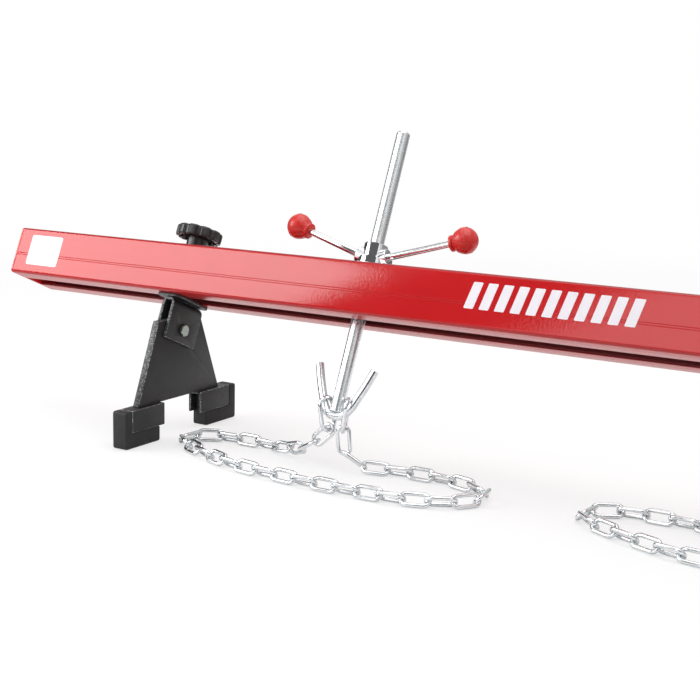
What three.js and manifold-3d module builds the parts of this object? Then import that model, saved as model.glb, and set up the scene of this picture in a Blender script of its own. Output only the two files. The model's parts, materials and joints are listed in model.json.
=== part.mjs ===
// Engine support bar: a slotted beam on two feet with two screw hooks and two chains.
// Millimetres, +Z up. X runs along the beam. The feet stand upright on the floor, and the
// beam with its screws leans back over the foot pins until it rests against its stops.

import * as THREE from "three";
import { mergeVertices } from "three/addons/utils/BufferGeometryUtils.js";
import Module from "manifold-3d";

const wasm = await Module();
wasm.setup();

// Clearances
const fitGap = 0.3; // between two pieces that touch or are welded
const runningGap = 0.3; // between a shaft and its hole
const cutOverrun = 5; // how far a cutting tool runs past the piece

// Beam
const beamLength = 1500;
const beamHeight = 60;
const slotWidth = 29; // between the lips of the two channels
const channelDepth = 26.5;
const channelWall = 3;
const channelCorner = 4;
const endPlateThickness = 3;

// Places along the beam, from its middle, for a beam of length one
const footPlaceShare = 124 / 375;
const hookPlaceShare = 1 / 6;

// Foot plate, upright, in the plane across the beam
const pinHeight = 126.5; // foot pin above the floor
const footPlateThickness = 9;
const footPlateTopHalf = 38.7;
const footPlateBottomHalf = 76.2;
const footPlateRise = 15.1; // top edge above the pin
const footPlateDrop = 82; // bottom edge below the pin

// Clevis that carries the foot under the beam
const clevisWidth = 58;
const clevisSheet = 4;
const clevisCorner = 7.5; // outside of the fold
const clevisInnerCorner = 1;
const clevisHeadroom = 29.6; // pin to the underside of the clevis's web
const clevisCheekDrop = 16; // cheeks below the pin
const clevisSideGap = 0.5; // foot plate to each cheek
const clevisBaseLength = 36;
const clevisBaseWidth = 64;
const clevisBaseThickness = 3;
const clevisBaseCorner = 8;
const clevisBaseOffset = 2; // from the foot plate's middle, to the stud's side

// Pivot bolt and nut
const pivotDiameter = 8;
const hexWidth = 13; // across the flats, bolt head and nut
const boltHeadHeight = 4;
const pivotNutHeight = 8;
const boltEndLength = 2; // thread that shows past the nut

// Shoes and rubber pads
const shoeLength = 58;
const shoeWidth = 19;
const shoeDepth = 26.5;
const shoeSheet = 3;
const shoeInnerReach = 34.5; // shoe's inner end from the foot's middle
const padLength = 61;
const padWidth = 20;
const padInnerReach = 44;
const padCorner = 3;
const padSlack = 0.4; // rubber to steel inside the shoe

// Clamp stud, washer and knob
const studOffset = 4; // stud and knob from the foot plate's middle, along the beam
const studDiameter = 10;
const washerDiameter = 46;
const washerThickness = 4;
const washerHole = 11;
const knobDiameter = 56;
const knobDiscHeight = 13;
const knobHubDiameter = 27;
const knobHubHeight = 12;
const knobCrown = 1.5; // how far the disc's top rises to its middle
const knobEdge = 1.6; // bevel round the disc
const knobFluteDiameter = 9;
const knobFluteDepth = 2.8;
const knobFlutes = 10;
const studEngagement = 16; // stud inside the knob

// Spindle, its nut and the turning arms
const spindleDiameter = 16;
const shankDiameter = 15.2;
const spindleTopHeight = 226; // above the beam's underside
const spindleThreadEnd = 22; // threads reach this far below the beam
const spindleChamfer = 1.5;
const thrustDiameter = 48;
const thrustThickness = 4;
const nutFlangeWidth = 32; // across the flats
const nutFlangeHeight = 12;
const nutTopWidth = 25; // across the flats
const nutTopHeight = 14;
const bossDiameter = 21;
const bossReach = 21.5;
const armDiameter = 8;
const armSocketDepth = 9; // rod inside its boss
const armTilt = THREE.MathUtils.degToRad(16.9);
const armHubHeight = 11.8; // arm axis above the beam's top at the spindle
const ballDiameter = 30;
const ballReach = 107.9; // ball centre from the spindle
const ballCollarDiameter = 16;
const ballCollarLength = 6;
const ballSocketDepth = 10; // rod inside the ball

// Double hook under the spindle
const hookRodDiameter = 9.5;
const hookDrop = 108.5; // lowest rod centre below the beam's underside
const hookReach = 36; // tip from the spindle's axis
const hookRise = 56; // tip above the lowest rod centre
const hookBendShares = [
  [1, 1],
  [0.82, 0.69],
  [0.61, 0.38],
  [0.46, 0.18],
  [0.25, 0.035],
];

// Chain
const chainLinks = 34;
const chainRuns = 5;
const linkWire = 4.5;
const linkInnerLength = 26;
const linkInnerWidth = 8.5;
const linkBite = 0.35; // how far the links of one run press together
const runGap = 0.7; // between the last link of a run and the next link
const ringGap = 1.4; // between an end ring and its link, along the link
const ringSeatGap = 0.95; // between an end ring and the hook's rod
const ringWire = 5;
const ringInnerLength = 32;
const ringInnerWidth = 14;
const ringSwing = THREE.MathUtils.degToRad(8); // lower end towards the spindle
const leftRingTurn = THREE.MathUtils.degToRad(15); // about the upright
const rightRingTurn = THREE.MathUtils.degToRad(22);
const linkRoll = THREE.MathUtils.degToRad(45);

// Where the chain lies, from the spindle's axis. The loop's reach to either side follows from
// the beam's length, and what the chain has left goes into its depth towards the front.
const loopReachShare = 19 / 150;
const loopReachAndDepth = 290;
const loopShares = [
  [-0.13, -0.27, 1.6],
  [-0.25, -0.2, 0.7],
  [-0.38, -0.1, 0.18],
  [-0.54, -0.03, 0],
  [-0.78, -0.02, 0],
  [-0.97, -0.1, 0],
  [-1.06, -0.3, 0],
  [-0.98, -0.52, 0],
  [-0.78, -0.72, 0],
  [-0.48, -0.92, 0],
  [-0.1, -1, 0],
  [0.35, -1.01, 0],
  [0.72, -0.92, 0],
  [0.95, -0.66, 0],
  [0.98, -0.36, 0],
  [0.82, -0.14, 0],
  [0.55, -0.08, 0],
  [0.36, -0.11, 0],
  [0.2, -0.2, 0.05],
  [0.085, -0.26, 0.8],
  [0.05, -0.265, 2],
];
const loopHopHeight = 14; // what a share of one in the third column adds above the floor

// Counts of sides and steps on round forms
const shaftSides = 20;
const ballSides = 18;
const rodSides = 10;
const rodSteps = 26;
const wireSides = 5;
const crownSteps = 4;
const cornerSteps = 3;
const routePoints = 900;
const fitRounds = 40;

// Colours and finishes
const redPaint = { color: 0xc8221f, roughness: 0.22, metalness: 0 };
const blackPaint = { color: 0x1f2022, roughness: 0.45, metalness: 0 };
const blackRubber = { color: 0x18191a, roughness: 0.75, metalness: 0 };
const blackPlastic = { color: 0x232325, roughness: 0.35, metalness: 0 };
const redPlastic = { color: 0xc02020, roughness: 0.3, metalness: 0 };
const zinc = { color: 0xc9cdd0, roughness: 0.3, metalness: 1 };
const chrome = { color: 0xe4e6e8, roughness: 0.08, metalness: 1 };

// Sizes that follow from the ones above
const clevisGap = footPlateThickness + 2 * clevisSideGap;
const clevisThickness = clevisGap + 2 * clevisSheet;
const pinDrop = clevisHeadroom + clevisSheet + clevisBaseThickness + 2 * fitGap;
const footX = beamLength * footPlaceShare;
const hookX = beamLength * hookPlaceShare;
const loopReach = beamLength * loopReachShare;
const loopDepth = loopReachAndDepth - loopReach;
const rodRadius = hookRodDiameter / 2;

// The beam leans until the foot plate's far shoulder meets the clevis's web.
const shoulderRadius = Math.hypot(footPlateTopHalf, footPlateRise);
const shoulderAngle = Math.atan2(footPlateRise, footPlateTopHalf);
const lean = Math.asin((clevisHeadroom - fitGap) / shoulderRadius) - shoulderAngle;

// Solids

function solidOf(geometry) {
  const bare = geometry.clone();
  for (const name of Object.keys(bare.attributes)) {
    if (name !== "position") bare.deleteAttribute(name);
  }
  const merged = mergeVertices(bare);
  const index = merged.index.array;
  const corners = [];
  for (let i = 0; i < index.length; i += 3) {
    const [a, b, c] = [index[i], index[i + 1], index[i + 2]];
    if (a !== b && b !== c && c !== a) corners.push(a, b, c);
  }
  const made = (list) =>
    new wasm.Manifold(
      new wasm.Mesh({
        numProp: 3,
        vertProperties: merged.attributes.position.array,
        triVerts: new Uint32Array(list),
      }),
    );
  const outward = made(corners);
  if (outward.volume() > 0) return outward;
  return made(corners.reverse());
}

function geometryOf(solid) {
  const mesh = solid.getMesh();
  const geometry = new THREE.BufferGeometry();
  const positions = new THREE.BufferAttribute(mesh.vertProperties, 3);
  geometry.setAttribute("position", positions);
  geometry.setIndex(new THREE.BufferAttribute(mesh.triVerts, 1));
  geometry.computeVertexNormals();
  return geometry;
}

const joined = (first, ...others) => others.reduce((sum, next) => sum.add(next), first);
const cut = (first, ...tools) => tools.reduce((left, tool) => left.subtract(tool), first);

function moved(geometry, x, y, z) {
  return geometry.translate(x, y, z);
}

// A shape in the Y-Z plane, drawn out along X between two places.
function drawnAlongX(shape, fromX, toX, curveSegments = cornerSteps) {
  const geometry = new THREE.ExtrudeGeometry(shape, {
    depth: toX - fromX,
    bevelEnabled: false,
    curveSegments,
  });
  const axes = new THREE.Matrix4().makeBasis(
    new THREE.Vector3(0, 1, 0),
    new THREE.Vector3(0, 0, 1),
    new THREE.Vector3(1, 0, 0),
  );
  return moved(geometry.applyMatrix4(axes), fromX, 0, 0);
}

// A shape in the X-Y plane, drawn out along Z between two heights.
function drawnAlongZ(shape, fromZ, toZ, curveSegments = cornerSteps) {
  const geometry = new THREE.ExtrudeGeometry(shape, {
    depth: toZ - fromZ,
    bevelEnabled: false,
    curveSegments,
  });
  return moved(geometry, 0, 0, fromZ);
}

// A shape in the X-Z plane, drawn out along Y, centred on the origin.
function drawnAlongY(shape, width, curveSegments = cornerSteps) {
  const geometry = new THREE.ExtrudeGeometry(shape, {
    depth: width,
    bevelEnabled: false,
    curveSegments,
  });
  return moved(geometry.rotateX(Math.PI / 2), 0, width / 2, 0);
}

// A profile of [radius, height] pairs, turned round the Z axis.
function turned(profile, sides = shaftSides) {
  const points = profile.map(([radius, height]) => new THREE.Vector2(radius, height));
  return new THREE.LatheGeometry(points, sides).rotateX(Math.PI / 2);
}

function cylinderZ(radius, fromZ, toZ, sides = shaftSides) {
  const geometry = new THREE.CylinderGeometry(radius, radius, toZ - fromZ, sides);
  return moved(geometry.rotateX(Math.PI / 2), 0, 0, (fromZ + toZ) / 2);
}

function cylinderX(radius, fromX, toX, sides = shaftSides) {
  const geometry = new THREE.CylinderGeometry(radius, radius, toX - fromX, sides);
  return moved(geometry.rotateZ(Math.PI / 2), (fromX + toX) / 2, 0, 0);
}

function box(lengthX, widthY, fromZ, toZ) {
  return moved(new THREE.BoxGeometry(lengthX, widthY, toZ - fromZ), 0, 0, (fromZ + toZ) / 2);
}

// A hexagon's corner radius from its width across the flats.
const hexCornerRadius = (width) => width / 2 / Math.cos(Math.PI / 6);

function roundedRectangle(fromA, fromB, toA, toB, radius) {
  const shape = new THREE.Shape();
  const quarter = Math.PI / 2;
  shape.absarc(toA - radius, fromB + radius, radius, -quarter, 0);
  shape.absarc(toA - radius, toB - radius, radius, 0, quarter);
  shape.absarc(fromA + radius, toB - radius, radius, quarter, Math.PI);
  shape.absarc(fromA + radius, fromB + radius, radius, Math.PI, Math.PI + quarter);
  shape.closePath();
  return shape;
}

function piece(name, solid, finish) {
  const mesh = new THREE.Mesh(geometryOf(solid), new THREE.MeshStandardMaterial(finish));
  mesh.name = name;
  return mesh;
}

// Beam: two channels face each other and leave a slot at the top and the bottom.

function channel(name, side) {
  const face = slotWidth / 2 + channelDepth;
  const [floor, roof] = [channelWall, beamHeight - channelWall];
  const skin = roundedRectangle(0, 0, face, beamHeight, channelCorner);
  const hollow = roundedRectangle(-face, floor, face - channelWall, roof, channelCorner - channelWall);
  const halfRun = beamLength / 2 - endPlateThickness - fitGap;
  const toolHalf = halfRun + cutOverrun;
  const block = solidOf(drawnAlongX(skin, -halfRun, halfRun));
  const inside = solidOf(drawnAlongX(hollow, -toolHalf, toolHalf));
  const slot = solidOf(box(2 * toolHalf, slotWidth, -cutOverrun, beamHeight + cutOverrun));
  const mesh = piece(name, cut(block, inside, slot), redPaint);
  mesh.rotation.z = side > 0 ? 0 : Math.PI;
  return mesh;
}

function endPlate(name, side) {
  const half = slotWidth / 2 + channelDepth;
  const outline = roundedRectangle(-half, 0, half, beamHeight, channelCorner);
  const inner = beamLength / 2 - endPlateThickness;
  const plate = drawnAlongX(outline, inner, beamLength / 2);
  const mesh = piece(name, solidOf(plate), redPaint);
  mesh.rotation.z = side > 0 ? 0 : Math.PI;
  return mesh;
}

function beam() {
  const group = new THREE.Group();
  group.add(channel("front_channel", -1));
  group.add(channel("rear_channel", 1));
  group.add(endPlate("left_end_plate", -1));
  group.add(endPlate("right_end_plate", 1));
  return group;
}

// Clamp and clevis of one foot. Z is counted from the beam's underside.

function clampUnit(side) {
  const group = new THREE.Group();
  const washerBottom = beamHeight + fitGap;
  const washerTop = washerBottom + washerThickness;
  const baseTop = -fitGap;
  const baseBottom = baseTop - clevisBaseThickness;
  const webTop = baseBottom - fitGap;
  const pinZ = -pinDrop;

  const onStud = (mesh) => {
    mesh.position.x = -studOffset;
    group.add(mesh);
  };
  const washer = cut(
    solidOf(cylinderZ(washerDiameter / 2, washerBottom, washerTop)),
    solidOf(cylinderZ(washerHole / 2, washerBottom - cutOverrun, washerTop + cutOverrun)),
  );
  onStud(piece(side + "_clamp_washer", washer, zinc));

  const hubBottom = washerTop + fitGap;
  const studTop = hubBottom + studEngagement;
  onStud(piece(side + "_clamp_knob", knob(hubBottom, studTop), blackPlastic));

  const stud = solidOf(cylinderZ(studDiameter / 2, baseBottom, studTop));
  onStud(piece(side + "_clamp_stud", stud, zinc));

  const baseOutline = roundedRectangle(
    -clevisBaseLength / 2,
    -clevisBaseWidth / 2,
    clevisBaseLength / 2,
    clevisBaseWidth / 2,
    clevisBaseCorner,
  );
  const studBore = studDiameter / 2 + runningGap;
  const studHole = cylinderZ(studBore, baseBottom - cutOverrun, baseTop + cutOverrun);
  const base = cut(
    solidOf(drawnAlongZ(baseOutline, baseBottom, baseTop)),
    solidOf(moved(studHole, clevisBaseOffset - studOffset, 0, 0)),
  );
  const baseMesh = piece(side + "_clevis_base", base, blackPaint);
  baseMesh.position.x = -clevisBaseOffset;
  group.add(baseMesh);

  const half = clevisThickness / 2;
  const cheekBottom = pinZ - clevisCheekDrop;
  const folded = roundedRectangle(-half, cheekBottom - clevisCorner, half, webTop, clevisCorner);
  const gap = roundedRectangle(
    -clevisGap / 2,
    cheekBottom - 2 * clevisCorner,
    clevisGap / 2,
    webTop - clevisSheet,
    clevisInnerCorner,
  );
  const pinHole = cylinderX(pivotDiameter / 2 + runningGap, -half - cutOverrun, half + cutOverrun);
  const below = box(
    clevisThickness + cutOverrun,
    clevisWidth + cutOverrun,
    cheekBottom - 2 * clevisCorner,
    cheekBottom,
  );
  const bracket = cut(
    solidOf(drawnAlongY(folded, clevisWidth)),
    solidOf(drawnAlongY(gap, clevisWidth + cutOverrun)),
    solidOf(moved(pinHole, 0, 0, pinZ)),
    solidOf(below),
  );
  group.add(piece(side + "_clevis_bracket", bracket, blackPaint));

  const headFrom = half + fitGap;
  const nutTo = -half - fitGap;
  const nutFrom = nutTo - pivotNutHeight;
  const shankTo = headFrom + boltHeadHeight / 2;
  const head = cylinderX(hexCornerRadius(hexWidth), headFrom, headFrom + boltHeadHeight, 6);
  const shank = cylinderX(pivotDiameter / 2, nutFrom - boltEndLength, shankTo);
  const bolt = joined(solidOf(moved(head, 0, 0, pinZ)), solidOf(moved(shank, 0, 0, pinZ)));
  group.add(piece(side + "_pivot_bolt", bolt, zinc));

  const nutBody = cylinderX(hexCornerRadius(hexWidth), nutFrom, nutTo, 6);
  const nutHole = cylinderX(pivotDiameter / 2 + runningGap, nutFrom - cutOverrun, nutTo + cutOverrun);
  const nut = cut(solidOf(moved(nutBody, 0, 0, pinZ)), solidOf(moved(nutHole, 0, 0, pinZ)));
  group.add(piece(side + "_pivot_nut", nut, zinc));
  return group;
}

function knob(bottom, studTop) {
  const discBottom = bottom + knobHubHeight;
  const discTop = discBottom + knobDiscHeight;
  const rim = knobDiameter / 2;
  const hub = knobHubDiameter / 2;
  const body = turned(
    [
      [0, bottom],
      [hub, bottom],
      [hub, discBottom],
      [rim - knobEdge, discBottom],
      [rim, discBottom + knobEdge],
      [rim, discTop - knobEdge],
      [rim - knobEdge, discTop],
      [0, discTop + knobCrown],
    ],
    2 * shaftSides,
  );
  const flutes = [];
  const fluteCentre = rim + knobFluteDiameter / 2 - knobFluteDepth;
  for (let i = 0; i < knobFlutes; i += 1) {
    const angle = ((i + 1 / 2) / knobFlutes) * 2 * Math.PI;
    const [from, to] = [discBottom - cutOverrun, discTop + cutOverrun];
    const flute = cylinderZ(knobFluteDiameter / 2, from, to, rodSides);
    const [x, y] = [fluteCentre * Math.cos(angle), fluteCentre * Math.sin(angle)];
    flutes.push(solidOf(moved(flute, x, y, 0)));
  }
  const bore = solidOf(cylinderZ(studDiameter / 2 + runningGap, bottom - cutOverrun, studTop + fitGap));
  return cut(solidOf(body), bore, ...flutes);
}

// Upright part of one foot. Z is counted from the pin.

function footUnit(side) {
  const group = new THREE.Group();
  const half = footPlateThickness / 2;
  const outline = new THREE.Shape([
    new THREE.Vector2(-footPlateBottomHalf, -footPlateDrop),
    new THREE.Vector2(footPlateBottomHalf, -footPlateDrop),
    new THREE.Vector2(footPlateTopHalf, footPlateRise),
    new THREE.Vector2(-footPlateTopHalf, footPlateRise),
  ]);
  const pinHole = cylinderX(pivotDiameter / 2 + runningGap, -half - cutOverrun, half + cutOverrun);
  const plate = cut(solidOf(drawnAlongX(outline, -half, half)), solidOf(pinHole));
  group.add(piece(side + "_foot_plate", plate, blackPaint));

  for (const [end, turn] of [
    ["rear", 0],
    ["front", Math.PI],
  ]) {
    const shoeMesh = piece(side + "_" + end + "_shoe", shoe(), blackPaint);
    const padMesh = piece(side + "_" + end + "_rubber_pad", rubberPad(), blackRubber);
    shoeMesh.rotation.z = turn;
    padMesh.rotation.z = turn;
    group.add(shoeMesh, padMesh);
  }
  return group;
}

const shoeTop = -footPlateDrop - fitGap;
const shoeOuterReach = shoeInnerReach + shoeLength;

function shoe() {
  const middle = shoeInnerReach + shoeLength / 2;
  const bottom = shoeTop - shoeDepth;
  const web = shoeTop - shoeSheet;
  const block = moved(box(shoeWidth, shoeLength, bottom, shoeTop), 0, middle, 0);
  const inside = box(shoeWidth - 2 * shoeSheet, shoeLength + cutOverrun, bottom - cutOverrun, web);
  return cut(solidOf(block), solidOf(moved(inside, 0, middle, 0)));
}

function rubberPad() {
  const outerReach = padInnerReach + padLength;
  const sideOutline = roundedRectangle(padInnerReach, -pinHeight, outerReach, shoeTop, padCorner);
  const block = solidOf(drawnAlongX(sideOutline, -padWidth / 2, padWidth / 2));
  const shoeEnd = shoeOuterReach + fitGap;
  const cutLength = shoeEnd - padInnerReach + cutOverrun;
  const cutMiddle = shoeEnd - cutLength / 2;
  const coreHalf = shoeWidth / 2 - shoeSheet - padSlack;
  const ledge = shoeTop - shoeDepth - fitGap;
  const cheek = (fromX, toX) => {
    const tool = box(toX - fromX, cutLength, ledge, cutOverrun);
    return solidOf(moved(tool, (fromX + toX) / 2, cutMiddle, 0));
  };
  const webBottom = shoeTop - shoeSheet - padSlack;
  const overWeb = moved(box(padWidth + cutOverrun, cutLength, webBottom, cutOverrun), 0, cutMiddle, 0);
  return cut(block, cheek(coreHalf, padWidth), cheek(-padWidth, -coreHalf), solidOf(overWeb));
}

// Screw, nut, arms and hook. Z is counted from the beam's underside.

const hookCurve = new THREE.CatmullRomCurve3(hookRodPoints(), false, "centripetal");

function hookRodPoints() {
  const left = hookBendShares.map(
    ([out, up]) => new THREE.Vector3(-out * hookReach, 0, up * hookRise - hookDrop),
  );
  const right = left.map((point) => new THREE.Vector3(-point.x, 0, point.z)).reverse();
  return [...left, new THREE.Vector3(0, 0, -hookDrop), ...right];
}

function hookRod(radius) {
  const section = new THREE.Shape().absarc(0, 0, radius, 0, 2 * Math.PI);
  return new THREE.ExtrudeGeometry(section, {
    steps: rodSteps,
    curveSegments: rodSides / 2,
    extrudePath: hookCurve,
  });
}

// A point of the arm's axis at a distance from the spindle's axis, measured level.
const armHeightAt = (reach) => beamHeight + armHubHeight + reach * Math.tan(armTilt);

// A solid made along +Z, laid along the arm's axis from a place on it.
function alongArm(geometry, reach, direction) {
  geometry.rotateY(direction * (Math.PI / 2 - armTilt));
  return moved(geometry, direction * reach, 0, armHeightAt(reach));
}

function hookUnit(side) {
  const group = new THREE.Group();
  const thrustBottom = beamHeight + fitGap;
  const thrustTop = thrustBottom + thrustThickness;
  const bore = spindleDiameter / 2 + runningGap;
  const thrust = cut(
    solidOf(cylinderZ(thrustDiameter / 2, thrustBottom, thrustTop)),
    solidOf(cylinderZ(bore, thrustBottom - cutOverrun, thrustTop + cutOverrun)),
  );
  group.add(piece(side + "_thrust_washer", thrust, zinc));

  const nutBottom = thrustTop + fitGap;
  const flangeTop = nutBottom + nutFlangeHeight;
  const nutTop = flangeTop + nutTopHeight;
  const flange = cylinderZ(hexCornerRadius(nutFlangeWidth), nutBottom, flangeTop, 6);
  const upper = cylinderZ(hexCornerRadius(nutTopWidth), nutBottom, nutTop, 6);
  const bossLength = bossReach / Math.cos(armTilt);
  const bosses = [-1, 1].map((direction) =>
    solidOf(alongArm(cylinderZ(bossDiameter / 2, 0, bossLength, shaftSides), 0, direction)),
  );
  const underNut = solidOf(box(4 * bossReach, 4 * bossReach, thrustBottom - cutOverrun, nutBottom));
  const sockets = [-1, 1].map((direction) => {
    const tool = cylinderZ(armDiameter / 2 + runningGap, -armSocketDepth, cutOverrun, rodSides);
    return solidOf(alongArm(tool, bossReach, direction));
  });
  const nutBore = solidOf(cylinderZ(bore, thrustBottom - cutOverrun, nutTop + cutOverrun));
  const nut = cut(joined(solidOf(flange), solidOf(upper), ...bosses), underNut, nutBore, ...sockets);
  group.add(piece(side + "_spindle_nut", nut, chrome));

  const toBall = (ballReach - bossReach) / Math.cos(armTilt);
  const armFrom = fitGap - armSocketDepth;
  const armTo = toBall - ballDiameter / 2 + ballSocketDepth;
  const mouth = ballDiameter / 2 + ballCollarLength;
  for (const [place, direction] of [
    ["outer", side === "left" ? -1 : 1],
    ["inner", side === "left" ? 1 : -1],
  ]) {
    const rod = alongArm(cylinderZ(armDiameter / 2, armFrom, armTo, rodSides), bossReach, direction);
    group.add(piece(side + "_" + place + "_arm", solidOf(rod), chrome));

    const sphere = new THREE.SphereGeometry(ballDiameter / 2, ballSides, ballSides / 2);
    sphere.rotateX(Math.PI / 2);
    const collar = cylinderZ(ballCollarDiameter / 2, -mouth, 0, rodSides);
    const socketFrom = -mouth - cutOverrun;
    const socketTo = armTo - toBall + fitGap;
    const socket = cylinderZ(armDiameter / 2 + runningGap, socketFrom, socketTo, rodSides);
    const ball = cut(
      joined(
        solidOf(alongArm(sphere, ballReach, direction)),
        solidOf(alongArm(collar, ballReach, direction)),
      ),
      solidOf(alongArm(socket, ballReach, direction)),
    );
    group.add(piece(side + "_" + place + "_ball", ball, redPlastic));
  }

  const screw = spindleDiameter / 2;
  const shank = shankDiameter / 2;
  const spindle = turned([
    [0, -hookDrop],
    [shank, -hookDrop],
    [shank, -spindleThreadEnd],
    [screw, -spindleThreadEnd],
    [screw, spindleTopHeight - spindleChamfer],
    [screw - spindleChamfer, spindleTopHeight],
    [0, spindleTopHeight],
  ]);
  const saddle = solidOf(hookRod(rodRadius + fitGap));
  const rodLower = -hookDrop + rodRadius / 2;
  const belowRod = solidOf(box(2 * shankDiameter, 2 * shankDiameter, -hookDrop - cutOverrun, rodLower));
  group.add(piece(side + "_spindle", cut(solidOf(spindle), saddle, belowRod), zinc));
  group.add(piece(side + "_double_hook", solidOf(hookRod(rodRadius)), zinc));
  return group;
}

// Chain. Its group stands on the floor under the foot pins' line, below the spindle.

// A closed round wire in the X-Y plane: straight legs along X and a half circle at each end.
function wireLoop(innerLength, innerWidth, wire) {
  const bend = (innerWidth + wire) / 2;
  const centre = (innerLength - innerWidth) / 2;
  const rings = [];
  for (const end of [1, -1]) {
    for (let step = 0; step <= crownSteps; step += 1) {
      const angle = -Math.PI / 2 + (Math.PI * step) / crownSteps;
      const outward = new THREE.Vector3(end * Math.cos(angle), end * Math.sin(angle), 0);
      const middle = outward.clone().multiplyScalar(bend);
      middle.x += end * centre;
      rings.push({ middle, outward });
    }
  }
  const positions = [];
  for (const { middle, outward } of rings) {
    for (let side = 0; side < wireSides; side += 1) {
      const angle = (2 * Math.PI * side) / wireSides;
      const offset = outward.clone().multiplyScalar(-Math.cos(angle) * (wire / 2));
      offset.z = Math.sin(angle) * (wire / 2);
      positions.push(...middle.clone().add(offset).toArray());
    }
  }
  const index = [];
  for (let ring = 0; ring < rings.length; ring += 1) {
    const next = (ring + 1) % rings.length;
    for (let side = 0; side < wireSides; side += 1) {
      const beside = (side + 1) % wireSides;
      const [a, b] = [ring * wireSides + side, ring * wireSides + beside];
      const [c, d] = [next * wireSides + side, next * wireSides + beside];
      index.push(a, b, c, b, d, c);
    }
  }
  const geometry = new THREE.BufferGeometry();
  geometry.setAttribute("position", new THREE.Float32BufferAttribute(positions, 3));
  geometry.setIndex(index);
  return geometry;
}

// A link's span is the distance between the centres of its two bends. The joint distances
// are those from a bend's centre to the next link's, and to the middle of a ring's wire.
const linkSpan = linkInnerLength - linkInnerWidth;
const linkBend = (linkInnerWidth + linkWire) / 2;
const linkJoint = linkInnerWidth;
const ringJoint = (linkInnerWidth - ringWire) / 2 - ringGap;
const restHeight = linkBend * Math.sin(linkRoll) + linkWire / 2;

// A place given in the leaning frame, seen from the chain's group.
function fromLeaningFrame(point) {
  const turnedPoint = new THREE.Vector3(point.x, point.y, point.z + pinDrop);
  turnedPoint.applyAxisAngle(new THREE.Vector3(1, 0, 0), -lean);
  turnedPoint.z += pinHeight;
  return turnedPoint;
}

// The rod's centre and slope at a distance from the spindle, on the side of the sign.
function rodSeat(reach, direction) {
  const points = hookCurve.getSpacedPoints(routePoints);
  const half = direction < 0 ? points.slice(0, routePoints / 2) : points.slice(routePoints / 2);
  let best = 1;
  for (let i = 1; i < half.length - 1; i += 1) {
    const isNearer = Math.abs(Math.abs(half[i].x) - reach) < Math.abs(Math.abs(half[best].x) - reach);
    if (isNearer) best = i;
  }
  const slope = Math.abs((half[best + 1].z - half[best - 1].z) / (half[best + 1].x - half[best - 1].x));
  return { centre: half[best], slopeAngle: Math.atan(slope) };
}

// A ring stands clear of the shank.
const ringReach = (shankDiameter + ringWire) / 2 + 2 * fitGap;

// An end ring hangs over the hook's rod, beside the spindle.
function endRing(direction) {
  const turn = direction > 0 ? rightRingTurn : leftRingTurn;
  const turnIn = Math.sin(turn) * ringWire;
  const { centre, slopeAngle } = rodSeat(ringReach + turnIn, direction);
  const seat = fromLeaningFrame(centre);
  const down = new THREE.Vector3(-direction * Math.sin(ringSwing), 0, -Math.cos(ringSwing));
  const across = new THREE.Vector3(0, 1, 0);
  across.applyAxisAngle(down, -direction * turn);
  const skew = slopeAngle + ringSwing;
  const wireRadius = ringWire / 2;
  const overRod = wireRadius * Math.tan(skew) + wireRadius * Math.sin(turn);
  const rise = rodRadius / Math.cos(skew) + overRod + ringSeatGap;
  const innerTop = seat.clone().addScaledVector(down, -rise);
  const middle = innerTop.clone().addScaledVector(down, ringInnerLength / 2);
  const lowWire = middle.clone().addScaledVector(down, (ringInnerLength + ringWire) / 2);
  return { seat, down, across, middle, lowWire };
}

// The chain's line from one ring to the other, with its loop drawn in or let out.
function chainRoute(slack, from, to) {
  const points = loopShares.map(([along, front, hop]) => {
    const x = along * loopReach * slack;
    const y = front * loopDepth * slack;
    return new THREE.Vector3(x, y, restHeight + hop * loopHopHeight);
  });
  points.unshift(from.clone());
  points.push(to.clone());
  return new THREE.CatmullRomCurve3(points, false, "centripetal");
}

// Steps of given lengths along a line, each from the last point reached.
function walked(route, steps) {
  const line = route.getSpacedPoints(routePoints);
  for (const point of line) point.z = Math.max(point.z, restHeight);
  const reached = [line[0].clone()];
  let at = 0;
  for (const step of steps) {
    const last = reached[reached.length - 1];
    while (at < line.length && line[at].distanceTo(last) < step) at += 1;
    if (at >= line.length) return { reached, left: -1 };
    const [before, after] = [line[at - 1], line[at]];
    const [near, far] = [before.distanceTo(last), after.distanceTo(last)];
    const share = Math.min(Math.max((step - near) / (far - near), 0), 1);
    reached.push(before.clone().lerp(after, share));
  }
  return { reached, left: line.length - at };
}

// The joints before each link: inside a run the links press together, between runs they don't.
function chainSteps() {
  const steps = [];
  for (let link = 0; link < chainLinks; link += 1) {
    const startsRun = runOf(link) !== runOf(link - 1);
    const joint = startsRun ? linkJoint - runGap : linkJoint + linkBite;
    steps.push(link === 0 ? ringJoint : joint, linkSpan);
  }
  steps.push(ringJoint);
  return steps;
}

const runOf = (link) => Math.floor((link * chainRuns) / chainLinks);

// The loop is let out until the whole chain just reaches the second ring.
const slackShares = [0.6, 1.4];

function laidChain(from, to) {
  let [low, high] = slackShares;
  const steps = chainSteps();
  for (let round = 0; round < fitRounds; round += 1) {
    const slack = (low + high) / 2;
    const { left } = walked(chainRoute(slack, from, to), steps);
    if (left < 0 || left > 1) {
      if (left < 0) low = slack;
      else high = slack;
    } else {
      low = slack;
    }
  }
  return walked(chainRoute(high, from, to), steps).reached;
}

const levelShare = 0.06; // a link whose direction rises by less lies level

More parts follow.
